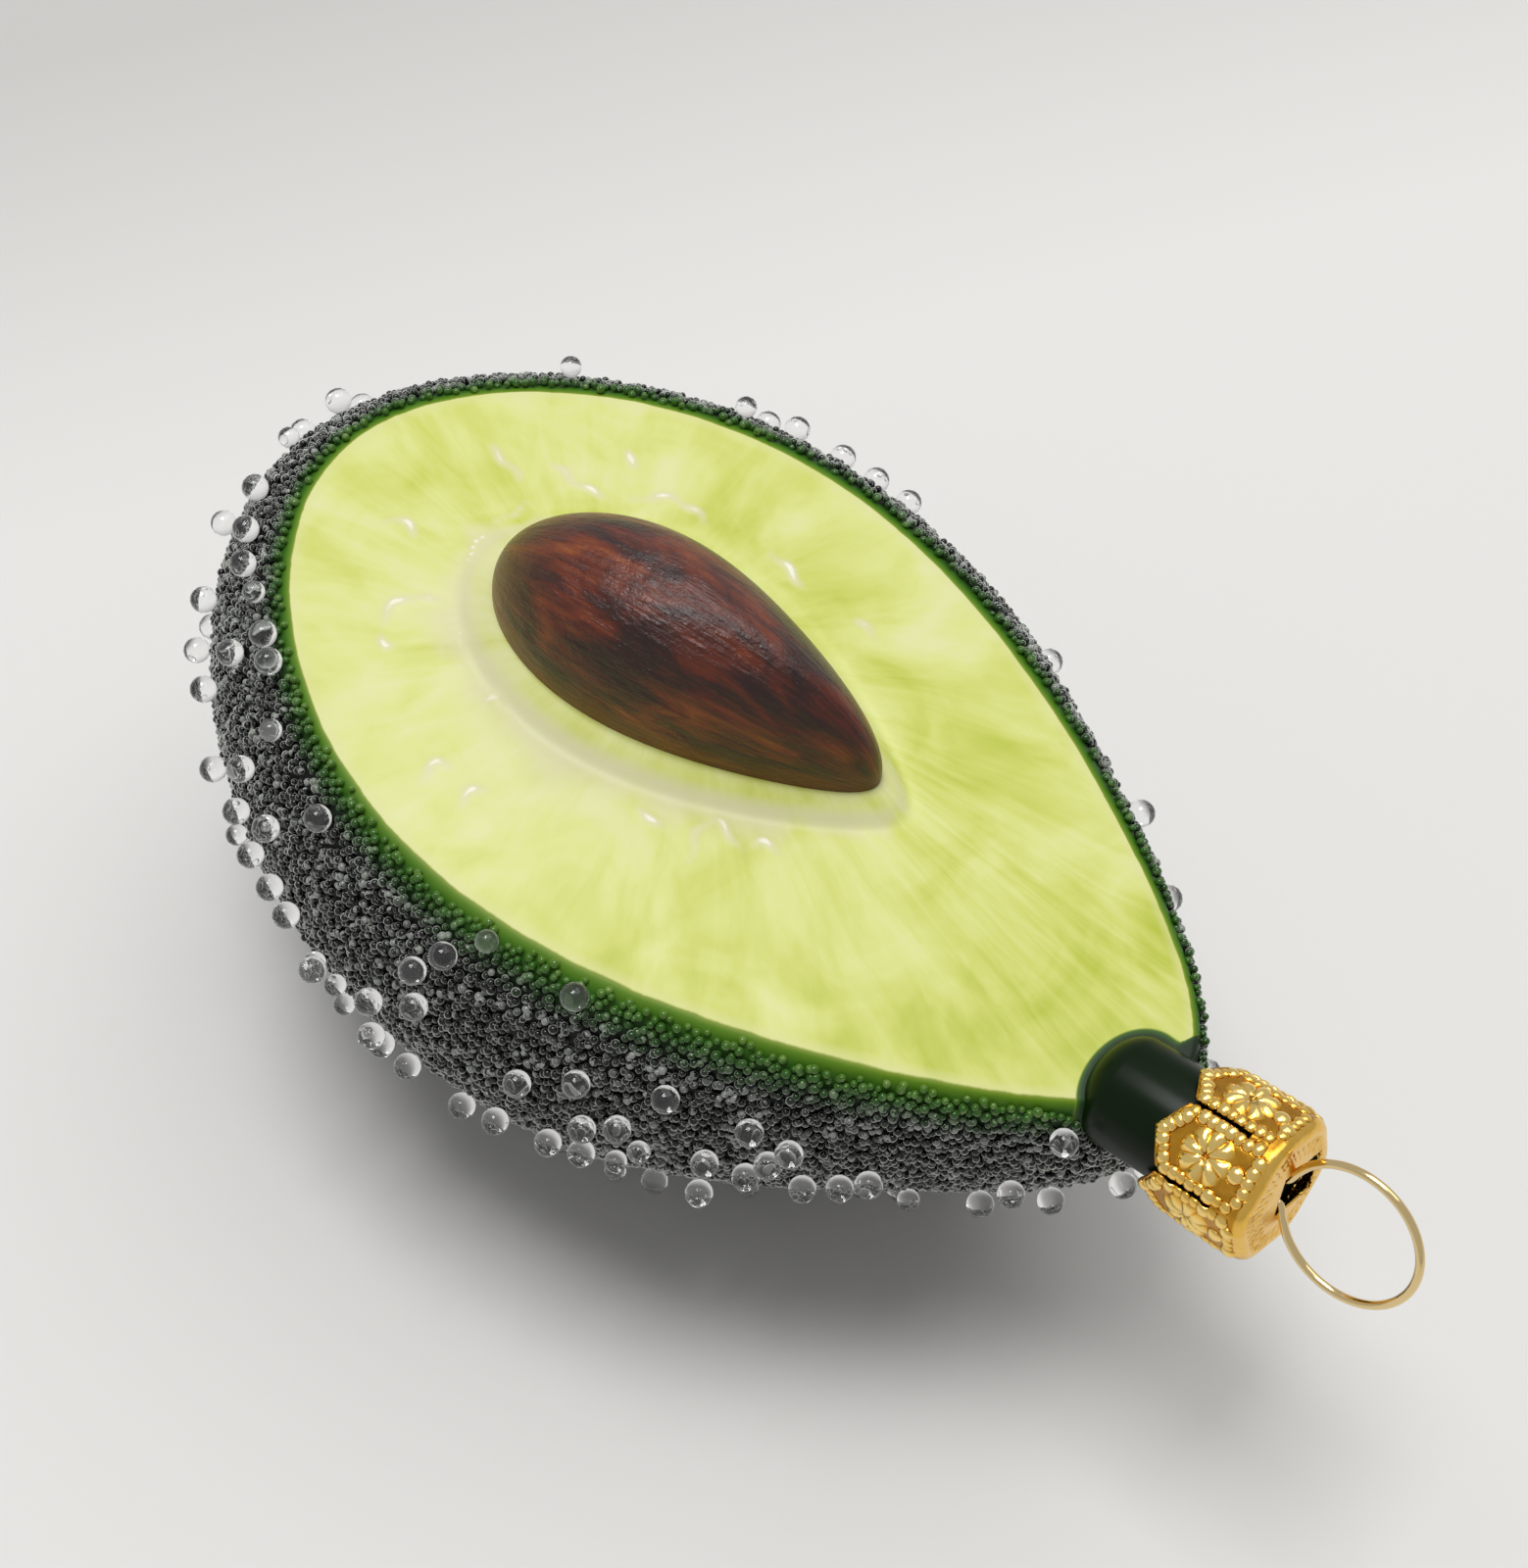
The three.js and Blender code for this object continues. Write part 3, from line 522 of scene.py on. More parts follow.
# Hand-brushed brown lacquer: streaks from near-black to amber along the pit, ridged by the
# bristles, so that the light breaks up in them, under a clear gloss coat.
pit_paint = new_material("brushed_brown_lacquer")
tree = pit_paint.node_tree
grain = add_node(tree, "Attribute", {"attribute_name": "grain"}).outputs["Vector"]
height_mm = add_node(tree, "Attribute", {"attribute_name": "height"}).outputs["Fac"]
blunt_share = add_node(tree, "Attribute", {"attribute_name": "blunt"}).outputs["Fac"]
fine_at = add_node(tree, "Mapping", Vector=grain, Scale=(0.22, 2.6, 2.6)).outputs[0]
fine = add_node(
    tree, "TexNoise", Vector=fine_at, Scale=1, Detail=6, Roughness=0.62, Distortion=0.5).outputs[0]
broad_at = add_node(tree, "Mapping", Vector=grain, Scale=(0.16, 0.42, 0.42)).outputs[0]
broad = add_node(
    tree, "TexNoise", Vector=broad_at, Scale=1, Detail=3, Roughness=0.5, Distortion=0.8).outputs[0]
both = add_node(tree, "Math", {"operation": "MULTIPLY_ADD"}, i0=fine, i1=0.45, i2=broad).outputs[0]
tone = add_node(tree, "MapRange", Value=both, i1=0.48, i2=0.98).outputs[0]
streaks = add_node(
    tree, "ValToRGB", Fac=tone,
    stops=((0.0, "#180502"), (0.3, "#300c03"), (0.55, "#551b06"), (0.8, "#78310c"),
           (1.0, "#8f4a14"))).outputs[0]
low = add_node(tree, "MapRange", Value=height_mm, i1=0.3, i2=2.4, i3=0.8, i4=0.0).outputs[0]
warm = add_node(
    tree, "Math", {"operation": "MULTIPLY_ADD", "use_clamp": True}, i0=blunt_share, i1=0.45, i2=low)
amber = add_node(
    tree, "Mix", {"data_type": "RGBA"}, i0=warm.outputs[0], i6=streaks,
    i7=linear("#74420a")).outputs[2]
lump_at = add_node(tree, "Mapping", Vector=grain, Scale=(0.35, 0.6, 0.6)).outputs[0]
lumps = add_node(tree, "TexNoise", Vector=lump_at, Scale=1, Detail=4, Roughness=0.6).outputs[0]
lumpy = add_node(tree, "Bump", Strength=0.5, Distance=0.0008, Height=lumps).outputs[0]
bristle = add_node(
    tree, "Bump", Strength=0.5, Distance=0.00035, Height=fine, Normal=lumpy).outputs[0]
brown = add_node(
    tree, "BsdfPrincipled", Base_Color=amber, Roughness=0.36, Specular_IOR_Level=0.3,
    Normal=bristle, Coat_Weight=0.45, Coat_Roughness=0.16, Coat_Normal=bristle)
add_node(tree, "OutputMaterial", Surface=brown.outputs[0])
pit.data.materials.append(pit_paint)


# The fine bead coat
# Tens of thousands of clear glass beads, less than a millimetre across, poured on the wet lacquer
# of the skin, where they lie one deep and side by side. Near the face they are sparser.

FINE_RADIUS, FINE_PITCH, FINE_JITTER = 0.36, 0.69, 0.2
COAT_START = -0.06
COAT_PIECES = 9
GOLDEN = (np.sqrt(5) - 1) / 2
TABLE_AROUND, TABLE_DOWN = 360, 300
NO_BEADS_FROM, NO_BEADS_WITHIN = 6.9, 6.6  # along and across the neck, so that the cap goes on


def ball(sides, rings_down):
    """A unit ball: rings of points at even steps of angle between two poles, as triangles."""
    down_angle = np.linspace(0, np.pi, rings_down + 1)[1:-1, None]
    a = np.linspace(0, 2 * np.pi, sides, endpoint=False)
    out = np.sin(down_angle)
    ring_points = np.stack(
        np.broadcast_arrays(out * np.cos(a), out * np.sin(a), np.cos(down_angle)), axis=-1)
    count = ring_points.shape[0]
    quads = grid_faces(count, sides)[:, ::-1]
    faces = np.concatenate((
        quads[:, [0, 1, 2]], quads[:, [0, 2, 3]],
        pole_faces(np.arange(sides), count * sides),
        pole_faces(np.arange(sides) + (count - 1) * sides, count * sides + 1, flip=True),
    ))
    return np.concatenate((ring_points.reshape(-1, 3), ((0, 0, 1), (0, 0, -1)))), faces


def turned_at_random(numbers, count):
    """One turning matrix for each ball, from a random unit quaternion."""
    quaternions = numbers.normal(size=(count, 4))
    w, x, y, z = (quaternions / np.linalg.norm(quaternions, axis=1, keepdims=True)).T
    return np.stack((
        1 - 2 * (y * y + z * z), 2 * (x * y - w * z), 2 * (x * z + w * y),
        2 * (x * y + w * z), 1 - 2 * (x * x + z * z), 2 * (y * z - w * x),
        2 * (x * z - w * y), 2 * (y * z + w * x), 1 - 2 * (x * x + y * y),
    ), axis=-1).reshape(-1, 3, 3)


def balls(centres, radii, sides, rings_down, numbers):
    """Many balls as one mesh, each turned its own way."""
    points, faces = ball(sides, rings_down)
    turning = turned_at_random(numbers, len(centres))
    ball_points = centres[:, None] + radii[:, None, None] * (points @ turning)
    numbered = faces + np.arange(len(centres))[:, None, None] * len(points)
    return ball_points.reshape(-1, 3), numbered.reshape(-1, 3)


def lacquer_normal(t, level):
    """The way out of the lacquer, across two small steps on it."""
    step = 1e-3
    across = lacquer_point(t + step, level) - lacquer_point(t - step, level)
    along = lacquer_point(t, level + step) - lacquer_point(t, level - step)
    normal = np.cross(across, along)
    return normal / np.linalg.norm(normal, axis=-1, keepdims=True)


numbers = np.random.default_rng(7)
table_t = np.linspace(0, 2 * np.pi, TABLE_AROUND + 1)
table_level = np.linspace(COAT_START, 1, TABLE_DOWN + 1)
table = lacquer_point(table_t[:, None], table_level)
cell_area = np.linalg.norm(
    np.cross(table[1:, :-1] - table[:-1, :-1], table[:-1, 1:] - table[:-1, :-1]), axis=-1)
coat_area = cell_area.sum()
bead_count = int(coat_area / (FINE_PITCH**2 * np.sqrt(3) / 2))

# The beads follow a golden spiral, which is even all over, on maps of the skin that keep its area.
index = np.arange(bead_count)
round_share = np.append(0, np.cumsum(cell_area.sum(axis=1))) / coat_area
fine_t = np.interp((index * GOLDEN) % 1, round_share, table_t)
column = np.minimum((fine_t / (2 * np.pi) * TABLE_AROUND).astype(int), TABLE_AROUND - 1)
down_share = np.cumsum(cell_area, axis=1) / cell_area.sum(axis=1, keepdims=True)
wanted = (index + 0.5) / bead_count
below = (down_share[column] < wanted[:, None]).sum(axis=1)
before = np.where(below > 0, down_share[column, np.maximum(below - 1, 0)], 0)
part = (wanted - before) / (down_share[column, below] - before)
fine_level = table_level[below] + part * (table_level[1] - table_level[0])
fine_rise = lacquer_normal(fine_t, fine_level) * FINE_RADIUS * 0.8
fine_centres = lacquer_point(fine_t, fine_level) + fine_rise
fine_centres += numbers.uniform(-FINE_JITTER, FINE_JITTER, fine_centres.shape)
fine_radii = FINE_RADIUS * numbers.uniform(0.7, 1.08, bead_count)

# Along the edge of the face a band of green lacquer stays bare, none at the fat end and a
# millimetre or more on both sides toward the neck. The neck stays bare too.
edge_place = lacquer_point(fine_t, np.full(bead_count, -ROLL_LEVEL))
from_face = np.linalg.norm(fine_centres - edge_place, axis=-1)
bare_width = 0.3 + 0.65 * smooth_step((1 - np.cos(fine_t)) / 2, 0.1, 0.4)
edge_noise = numbers.uniform(-0.3, 0.3, bead_count)
neck_along, neck_across, neck_up = ((fine_centres - NECK_START) @ neck_turn).T
in_cap = (neck_along > NO_BEADS_FROM) & (np.hypot(neck_across, neck_up) < NO_BEADS_WITHIN)
fine_kept = (from_face > bare_width + edge_noise) & (from_neck(fine_centres) > 0.3) & ~in_cap


# The larger beads
# Clear glass balls, more than two millimetres across, that were mixed in with the fine ones and lie
# on the coat singly and in clumps, each in a drop of glue.

LARGE_RADIUS, SMALLER_RADIUS = 1.1, 0.9
LARGE_SINK = 0.45  # lowest point of a bead over the lacquer, among the fine beads
MORE_BEADS = 180  # drawn at random, but off the upper skin of the side whose beads are listed
LISTED_SIDE, LISTED_DOWN = np.radians((185, 350)), 0.45
# Where one side shows them: degrees round the face from the fat end, and hundredths of the way
# down the skin.
SEEN_BEADS = (
    (40, 1), (62, 0), (73, 13), (77, 14), (81, 14), (101, 19), (192, 23), (204, 28), (207, 29),
    (209, 3), (214, 21), (215, 31), (226, 31), (233, 21), (236, 24), (240, 26), (242, 15),
    (244, 19), (246, 12), (246, 24), (250, 22), (252, 24), (254, 10), (254, 26), (256, 24),
    (258, 19), (258, 30), (261, 22), (261, 30), (262, 13), (263, 21), (264, -1), (264, 31),
    (267, 18), (269, 33), (273, 38), (274, -2), (274, 2), (275, 38), (277, 5), (278, 14),
    (279, 10), (279, 37), (281, 28), (282, 21), (282, 36), (287, 28), (287, 35), (290, 28),
    (294, 23), (296, 3), (297, 22), (300, 13), (301, 22), (305, 19), (306, 28), (307, 12),
    (308, 3), (313, 25), (314, 23), (316, -2), (320, -2), (320, 7), (320, 18), (322, 18),
    (327, 0), (332, 3), (332, 17), (338, 4), (346, 6),
)

cad_beads = sorted(name for name in frame["nodes"] if "bead_" in name and name != "bead_coat")
bead_middles = np.array([np.mean(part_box(name), axis=0) for name in cad_beads])
from_pivot = (bead_middles - joints["hanger_tilt"]["pos_m"]) @ ornament_in_frame.T * 1000
fixed_centres = from_pivot + on_neck((HANGER_PIVOT, 0, 0))
seen_t, seen_level = np.array(SEEN_BEADS).T
more_t = np.radians(numbers.uniform(0, 360, MORE_BEADS))
more_level = numbers.uniform(0.1, 0.95, MORE_BEADS)
on_listed_side = (more_t > LISTED_SIDE[0]) & (more_t < LISTED_SIDE[1])
more_level[on_listed_side & (more_level < LISTED_DOWN)] += LISTED_DOWN
other_t = np.concatenate((np.radians(seen_t), more_t))
other_level = np.concatenate((seen_level / 100, more_level))
other_radii = numbers.choice((LARGE_RADIUS, SMALLER_RADIUS), len(other_t), p=(0.75, 0.25))
other_rise = lacquer_normal(other_t, other_level) * (LARGE_SINK + other_radii)[:, None]
other_centres = lacquer_point(other_t, other_level) + other_rise
large_centres = np.concatenate((fixed_centres, other_centres))
large_radii = np.concatenate((np.full(len(fixed_centres), LARGE_RADIUS), other_radii))
apart = np.linalg.norm(large_centres[:, None] - large_centres, axis=-1)
crowded = np.tril(apart < large_radii[:, None] + large_radii - 0.1, -1).any(axis=1)
in_frame = placed(large_centres)
reach = np.abs(in_frame - cad_box.mean(axis=0)) + large_radii[:, None] / 1000
outside = (reach > np.ptp(cad_box, axis=0) / 2).any(axis=1)
touches_table = in_frame[:, 2] - large_radii / 1000 < 0.0004
in_neck = from_neck(large_centres) <= large_radii + 0.2
kept = ~(crowded | outside | touches_table | in_neck)
kept[: len(fixed_centres)] = True
large_centres, large_radii = large_centres[kept], large_radii[kept]
large = make_piece(
    "large_beads", *balls(large_centres, large_radii, 14, 8, numbers),
    slot="clear_bead", replaces=cad_beads)

# Lead-free soda glass, drawn into balls by flame: quite clear and mirror smooth, so that each shows
# the dark lacquer below it with a bright ring, and the room upside down.
bead_glass = new_material("clear_glass_beads")
tree = bead_glass.node_tree
clear = add_node(
    tree, "BsdfPrincipled", Base_Color=linear("#ffffff"), Roughness=0.02, IOR=1.5,
    Transmission_Weight=1.0)
add_node(tree, "OutputMaterial", Surface=clear.outputs[0])
large.data.materials.append(bead_glass)

for centre, radius in zip(large_centres, large_radii):
    fine_kept &= np.linalg.norm(fine_centres - centre, axis=1) > radius + 0.8 * FINE_RADIUS

# The same glass in small balls. Each is a dark dot, the lacquer seen through its middle, in a ring
# of
# painted light: its colour turns light toward the edge, standing for the light of the room that the
# edge bends toward the eye. Near the face the dot is green. No two beads are alike, since their
# place and roundness differ, and a few of them carry a painted glint that lights them all over.
BEADS_PER_METRE = 1450
fine_glass = new_material("fine_glass_beads_on_lacquer")
tree = fine_glass.node_tree
under = add_node(tree, "Attribute", {"attribute_name": "rim"}).outputs["Fac"]
seen_through = add_node(
    tree, "ValToRGB", Fac=under,
    stops=((0.1, "#5f8d1c"), (0.35, "#356d12"), (0.65, "#1d450e"), (0.95, "#0e180b"),
           (1.0, "#090c09"))).outputs[0]
# Painted light: a light ring at each bead's edge, round the lacquer seen through its middle.
painted_light_ring = add_node(
    tree, "ValToRGB", Fac=under,
    stops=((0.1, "#9cbc50"), (0.45, "#7fa862"), (0.85, "#f8fcf3"))).outputs[0]
facing = add_node(tree, "LayerWeight", Blend=0.5).outputs["Facing"]
bent = add_node(tree, "MapRange", Value=facing, i1=0.35, i2=0.68).outputs[0]
bead_place = add_node(tree, "TexCoord").outputs["Object"]
bead_tone = add_node(
    tree, "TexVoronoi", Vector=bead_place, Scale=BEADS_PER_METRE).outputs["Color"]
painted_ring_strength = add_node(tree, "MapRange", Value=bead_tone, i1=0.2, i2=0.6, i3=0.3).outputs[0]
# Painted highlight: a glint that makes a few beads light all over.
painted_glint = add_node(tree, "MapRange", Value=bead_tone, i1=0.66, i2=0.8, i4=0.4).outputs[0]
ring = add_node(tree, "Math", {"operation": "MULTIPLY"}, i0=bent, i1=painted_ring_strength).outputs[0]
painted_light_share = add_node(tree, "Math", {"operation": "MAXIMUM"}, i0=ring, i1=painted_glint).outputs[0]
dot_and_painted_ring = add_node(
    tree, "Mix", {"data_type": "RGBA"}, i0=painted_light_share, i6=seen_through, i7=painted_light_ring).outputs[2]
small_glass = add_node(
    tree, "BsdfPrincipled", Base_Color=dot_and_painted_ring, Roughness=0.06, IOR=1.5,
    Transmission_Weight=0.2)
add_node(tree, "OutputMaterial", Surface=small_glass.outputs[0])

fine_band = np.interp(fine_t, np.append(around, 2 * np.pi), np.append(band_width, band_width[0]))
fine_rim = from_face / fine_band
for part_number, chosen in enumerate(np.array_split(index[fine_kept], COAT_PIECES)):
    bead_points, bead_faces = balls(fine_centres[chosen], fine_radii[chosen], 8, 5, numbers)
    coat = make_piece(
        f"fine_beads_{part_number + 1}", bead_points, bead_faces,
        slot="beaded_skin", replaces=["bead_coat"],
        attributes={"rim": np.repeat(fine_rim[chosen], len(bead_points) // len(chosen))})
    coat.data.materials.append(fine_glass)


# The stamped cap
# Thin brass sheet, stamped in a die into a six-sided cup with pointed petals, a slot in its end and
# a relief of dot chains and flowers, then gold plated. It is pushed over the glass neck.

CAP_SIDES, CAP_HALF, CAP_CORNER = 6, 5.1, 3.0
CAP_TIP, CAP_END = 7.6, 16.2
CAP_TURN = np.radians(-36)
PETAL_POINT = 1.5
SLIT_HALF, SLIT_LENGTH = 0.275, 6.2
PETAL_COLUMNS = 52
SLOT_HALF_WIDTH, SLOT_HALF_LENGTH, SLOT_ASIDE = 1.83, 2.4, 1.5
CAP_SHEET = 0.0003  # metres, for the modifier that gives the sheet its thickness
CAP_ROLL = 0.5  # radius of the rolled edge of the end plate
CAP_TAPER = 0.2  # how much the petals lean in at their points
DOT_PITCH, DOT_RADIUS, DOT_RISE = 0.74, 0.36, 0.26
CHAIN_OUT = 2.2
FLOWER_AT, FLOWER_RADIUS, FLOWER_RISE = 4.3, 1.95, 0.4
KNOB_AT, KNOB_RADIUS, KNOB_RISE = 6.75, 0.5, 0.38

step_angle = np.pi / CAP_SIDES
flat_half = (CAP_HALF - CAP_CORNER) * np.tan(step_angle)
quarter_length = flat_half + CAP_CORNER * step_angle
petal_half = quarter_length - SLIT_HALF
side_at = np.append(-quarter_length, np.linspace(-petal_half, petal_half, PETAL_COLUMNS))


def side_edge(at):
    """Places and outward directions along one side of a polygon with round corners, from corner to
    corner: straight, then arcs of a circle."""
    bend = np.maximum(np.abs(at) - flat_half, 0) / CAP_CORNER
    out = CAP_HALF - CAP_CORNER * (1 - np.cos(bend))
    beside = np.sign(at) * (np.minimum(np.abs(at), flat_half) + CAP_CORNER * np.sin(bend))
    return np.stack((out, beside), -1), np.stack((np.cos(bend), np.sign(at) * np.sin(bend)), -1)


def dome(at, down, x, y, radius, rise):
    """Half a ball standing on the sheet round (x, y), flattened to the given rise."""
    return rise * np.sqrt(np.clip(1 - ((at - x) ** 2 + (down - y) ** 2) / radius**2, 0, 1))


def side_relief(at, down):
    """The stamped pattern of one side: round dots in a chain along its edges and its point, one
    larger knob, and a flower of eight petals, a cosine of the angle round its middle. The worn die
    leaves no two dots alike."""
    rows = np.arange(2.0, 7.9, DOT_PITCH)
    gable = np.linspace(0, 1, 5)[:-1]
    ends = np.arange(-1.5, 1.6, DOT_PITCH)
    chain = [(side * CHAIN_OUT, row) for side in (-1, 1) for row in rows]
    chain += [(side * CHAIN_OUT * g, 0.62 + 1.35 * g) for side in (-1, 1) for g in gable]
    chain += [(end, 7.75) for end in ends]
    relief = np.zeros(np.broadcast(at, down).shape)
    for x, y in chain:
        off_x, off_y, size = numbers.uniform(-0.07, 0.07, 3)
        dot = dome(at, down, x + off_x, y + off_y, DOT_RADIUS + size, DOT_RISE + size)
        relief = np.maximum(relief, dot)
    relief = np.maximum(relief, dome(at, down, 0, KNOB_AT, KNOB_RADIUS, KNOB_RISE))
    out = np.hypot(at, down - FLOWER_AT)
    start, uneven = numbers.uniform(0, np.pi), numbers.uniform(0.1, 0.25)
    petals = (0.5 + 0.5 * np.cos(8 * np.arctan2(at, down - FLOWER_AT) + start)) ** 0.8
    petals = petals * (1 - uneven * np.sin(3 * np.arctan2(at, down - FLOWER_AT) + start))
    reach = np.sin(np.pi * np.clip(out / FLOWER_RADIUS, 0, 1)) ** 0.7
    return np.maximum(relief, FLOWER_RISE * petals * reach)


WALL_ROWS, UPPER_ROWS, ROLL_ROWS, PLATE_ROWS = 56, 24, 6, 24
point = PETAL_POINT * np.abs(side_at) / quarter_length
petal_down = point + (SLIT_LENGTH - point) * np.linspace(0, 1, WALL_ROWS)[:, None]
upper_length = CAP_END - CAP_TIP - CAP_ROLL - SLIT_LENGTH
upper_down = SLIT_LENGTH + upper_length * np.linspace(0, 1, UPPER_ROWS + 1)[1:, None] + 0 * point
side_down = np.concatenate((petal_down, upper_down))
roll_angle = np.linspace(0, np.pi / 2, ROLL_ROWS + 1)[1:, None] + 0 * point
edge, edge_way = side_edge(side_at)
slot_way = np.array((np.cos(HANGER_TURN), -np.sin(HANGER_TURN)))
legs_way = np.array((np.sin(HANGER_TURN), np.cos(HANGER_TURN)))


def cap_side(turn):
    """Points and relief of one side: the wall with its relief, the rolled edge as a quarter circle,
    and the share of the end plate between it and the slot, pricked with two rows of dimples."""
    out_way, beside_way = (np.sin(turn), np.cos(turn)), (np.cos(turn), -np.sin(turn))
    relief = side_relief(side_at, side_down)
    taper = CAP_TAPER * (1 - side_down / (CAP_END - CAP_TIP)) ** 2
    wall = edge + (relief - taper)[..., None] * edge_way
    rolled = edge - CAP_ROLL * (1 - np.cos(roll_angle))[..., None] * edge_way
    across = np.concatenate((wall, rolled)) @ np.array((out_way, beside_way))
    rim_place = across[-1]
    from_slot = rim_place - SLOT_ASIDE * slot_way
    narrow = np.minimum(
        SLOT_HALF_WIDTH / np.abs(from_slot @ legs_way),
        SLOT_HALF_LENGTH / np.abs(from_slot @ slot_way))
    slot_edge = SLOT_ASIDE * slot_way + from_slot * narrow[:, None]
    inward = np.linspace(0, 1, PLATE_ROWS + 1)[1:, None]
    plate = rim_place + inward[..., None] * (slot_edge - rim_place)
    from_rim = inward * np.linalg.norm(slot_edge - rim_place, axis=-1)
    outer_row = bump(from_rim, 0.55, 0.26) * (0.5 + 0.5 * np.cos(2 * np.pi * side_at / 0.8)) ** 2
    inner_row = bump(from_rim, 1.35, 0.26) * (0.5 - 0.5 * np.cos(2 * np.pi * side_at / 0.93)) ** 2
    dimples = -0.22 * np.maximum(outer_row, 0.8 * inner_row) * smooth_step(inward, 1.0, 0.85)
    along = np.concatenate((
        CAP_TIP + side_down, CAP_END - CAP_ROLL * (1 - np.sin(roll_angle)), CAP_END + dimples))
    height = np.concatenate((relief, np.zeros_like(roll_angle) + 0.14, 0.14 + dimples))
    return np.append(along[..., None], np.concatenate((across, plate)), -1), height


sides = [cap_side(CAP_TURN + 2 * step_angle * side) for side in range(CAP_SIDES)]
cap_rows = np.concatenate([points for points, _ in sides], axis=1)
cap_relief = np.concatenate([height for _, height in sides], axis=1)
cap_columns = cap_rows.shape[1]
slit_column = np.isin(np.arange(cap_columns) % len(side_at), (0, len(side_at) - 1))
in_slit = (np.arange(len(cap_rows) - 1) < WALL_ROWS - 1)[:, None] & slit_column
cap = make_piece(
    "cap_stamped", on_neck(cap_rows.reshape(-1, 3)),
    grid_faces(len(cap_rows), cap_columns)[~in_slit.ravel()],
    body="cap", slot="stamped_brass", replaces=["cap"], attributes={"relief": cap_relief.ravel()})
sheet = cap.modifiers.new("sheet", "SOLIDIFY")
sheet.thickness, sheet.offset = CAP_SHEET, -1

# Stamped brass with bright gold plating: mirror-like on the raised dots and petals, duller in the
# hollows. Its colour is painted shade, dark brown in the hollows, and painted highlight, pale gold
# on the raised relief.
brass = new_material("gold_plated_stamped_brass")
tree = brass.node_tree
relief_mm = add_node(tree, "Attribute", {"attribute_name": "relief"}).outputs["Fac"]
cap_place = add_node(tree, "TexCoord").outputs["Object"]
uneven_noise = add_node(tree, "TexNoise", Vector=cap_place, Scale=900, Detail=3, Roughness=0.6).outputs[0]
raised = add_node(
    tree, "Math", {"operation": "MULTIPLY_ADD"}, i0=uneven_noise, i1=0.16, i2=relief_mm).outputs[0]
# Painted shade and highlight: darker brown in the hollows, paler gold on the raised relief.
gold_painted_lit_and_shaded = add_node(
    tree, "ValToRGB", Fac=add_node(tree, "MapRange", Value=raised, i1=0.0, i2=0.36).outputs[0],
    stops=((0.0, "#8f5c18"), (0.25, "#cc9430"), (0.55, "#efbd52"), (1.0, "#ffdc86"))).outputs[0]
gold_rough = add_node(tree, "MapRange", Value=raised, i1=0.0, i2=0.3, i3=0.38, i4=0.17).outputs[0]
wrinkles = add_node(tree, "Bump", Strength=0.25, Distance=0.0002, Height=uneven_noise).outputs[0]
gold = add_node(
    tree, "BsdfPrincipled", Base_Color=gold_painted_lit_and_shaded, Metallic=1.0, Roughness=gold_rough,
    Normal=wrinkles)
add_node(tree, "OutputMaterial", Surface=gold.outputs[0])
cap.data.materials.append(brass)


# The wire hanger
# One length of springy brass wire, bent into a round loop with two legs that are squeezed through
# the slot and press outwards in the neck. It is plated a pale gold and polished.

WIRE_RADIUS, WIRE_SIDES = 0.33, 20
LOOP_RADIUS, LOOP_CENTRE = 5.4, 21.7
LOOP_OPENING = np.radians(25)
LEG_GAP, LEG_SPREAD, LEG_LENGTH = 1.2, 2.4, 9.2


def smooth_path(knots, steps):
    """A Catmull-Rom spline: between two knots it is the cubic whose end slopes are half the step
    from the knot before to the knot after."""
    knots = np.concatenate((2 * knots[:1] - knots[1:2], knots, 2 * knots[-1:] - knots[-2:-1]))
    a = (np.arange(steps) / steps)[:, None]
    before, start, end, after = (knots[i : len(knots) - 3 + i, None] for i in range(4))
    curve = start + a / 2 * (end - before) + a**2 * (before - 2.5 * start + 2 * end - 0.5 * after)
    curve = curve + a**3 / 2 * (3 * start - 3 * end + after - before)
    return np.concatenate((curve.reshape(-1, knots.shape[1]), knots[-2:-1]))


leg = np.array((
    (CAP_END - LEG_LENGTH, LEG_SPREAD), (CAP_END - LEG_LENGTH / 2, (LEG_SPREAD + LEG_GAP) / 2),
    (CAP_END - 1.2, LEG_GAP), (CAP_END, LEG_GAP),
))
bend = np.linspace(LOOP_OPENING, 2 * np.pi - LOOP_OPENING, 21)
loop = np.stack((LOOP_CENTRE - LOOP_RADIUS * np.cos(bend), LOOP_RADIUS * np.sin(bend)), axis=-1)
wire_path = smooth_path(np.concatenate((leg, loop, leg[::-1] * (1, -1))), 8)
heading = np.gradient(wire_path, axis=0)
heading /= np.linalg.norm(heading, axis=1, keepdims=True)
section = np.linspace(0, 2 * np.pi, WIRE_SIDES, endpoint=False)
beside = np.stack((-heading[:, 1], heading[:, 0]), axis=-1)
in_plane = wire_path[:, None] + WIRE_RADIUS * np.cos(section)[:, None] * beside[:, None]
off_plane = np.broadcast_to(WIRE_RADIUS * np.sin(section), in_plane.shape[:2])
cross_section = in_plane[..., 1:] * legs_way + off_plane[..., None] * slot_way
wire_rows = np.append(in_plane[..., :1], cross_section, -1)
wire_ends = wire_rows[[0, -1]].mean(axis=1)
wire_count = len(wire_rows) * WIRE_SIDES
hanger = make_piece(
    "wire_hanger_fine", on_neck(np.concatenate((wire_rows.reshape(-1, 3), wire_ends))),
    grid_faces(len(wire_rows), WIRE_SIDES),
    pole_faces(np.arange(WIRE_SIDES), wire_count, flip=True),
    pole_faces(np.arange(WIRE_SIDES) + wire_count - WIRE_SIDES, wire_count + 1),
    body="hanger", slot="gold_wire", replaces=["wire_hanger"])

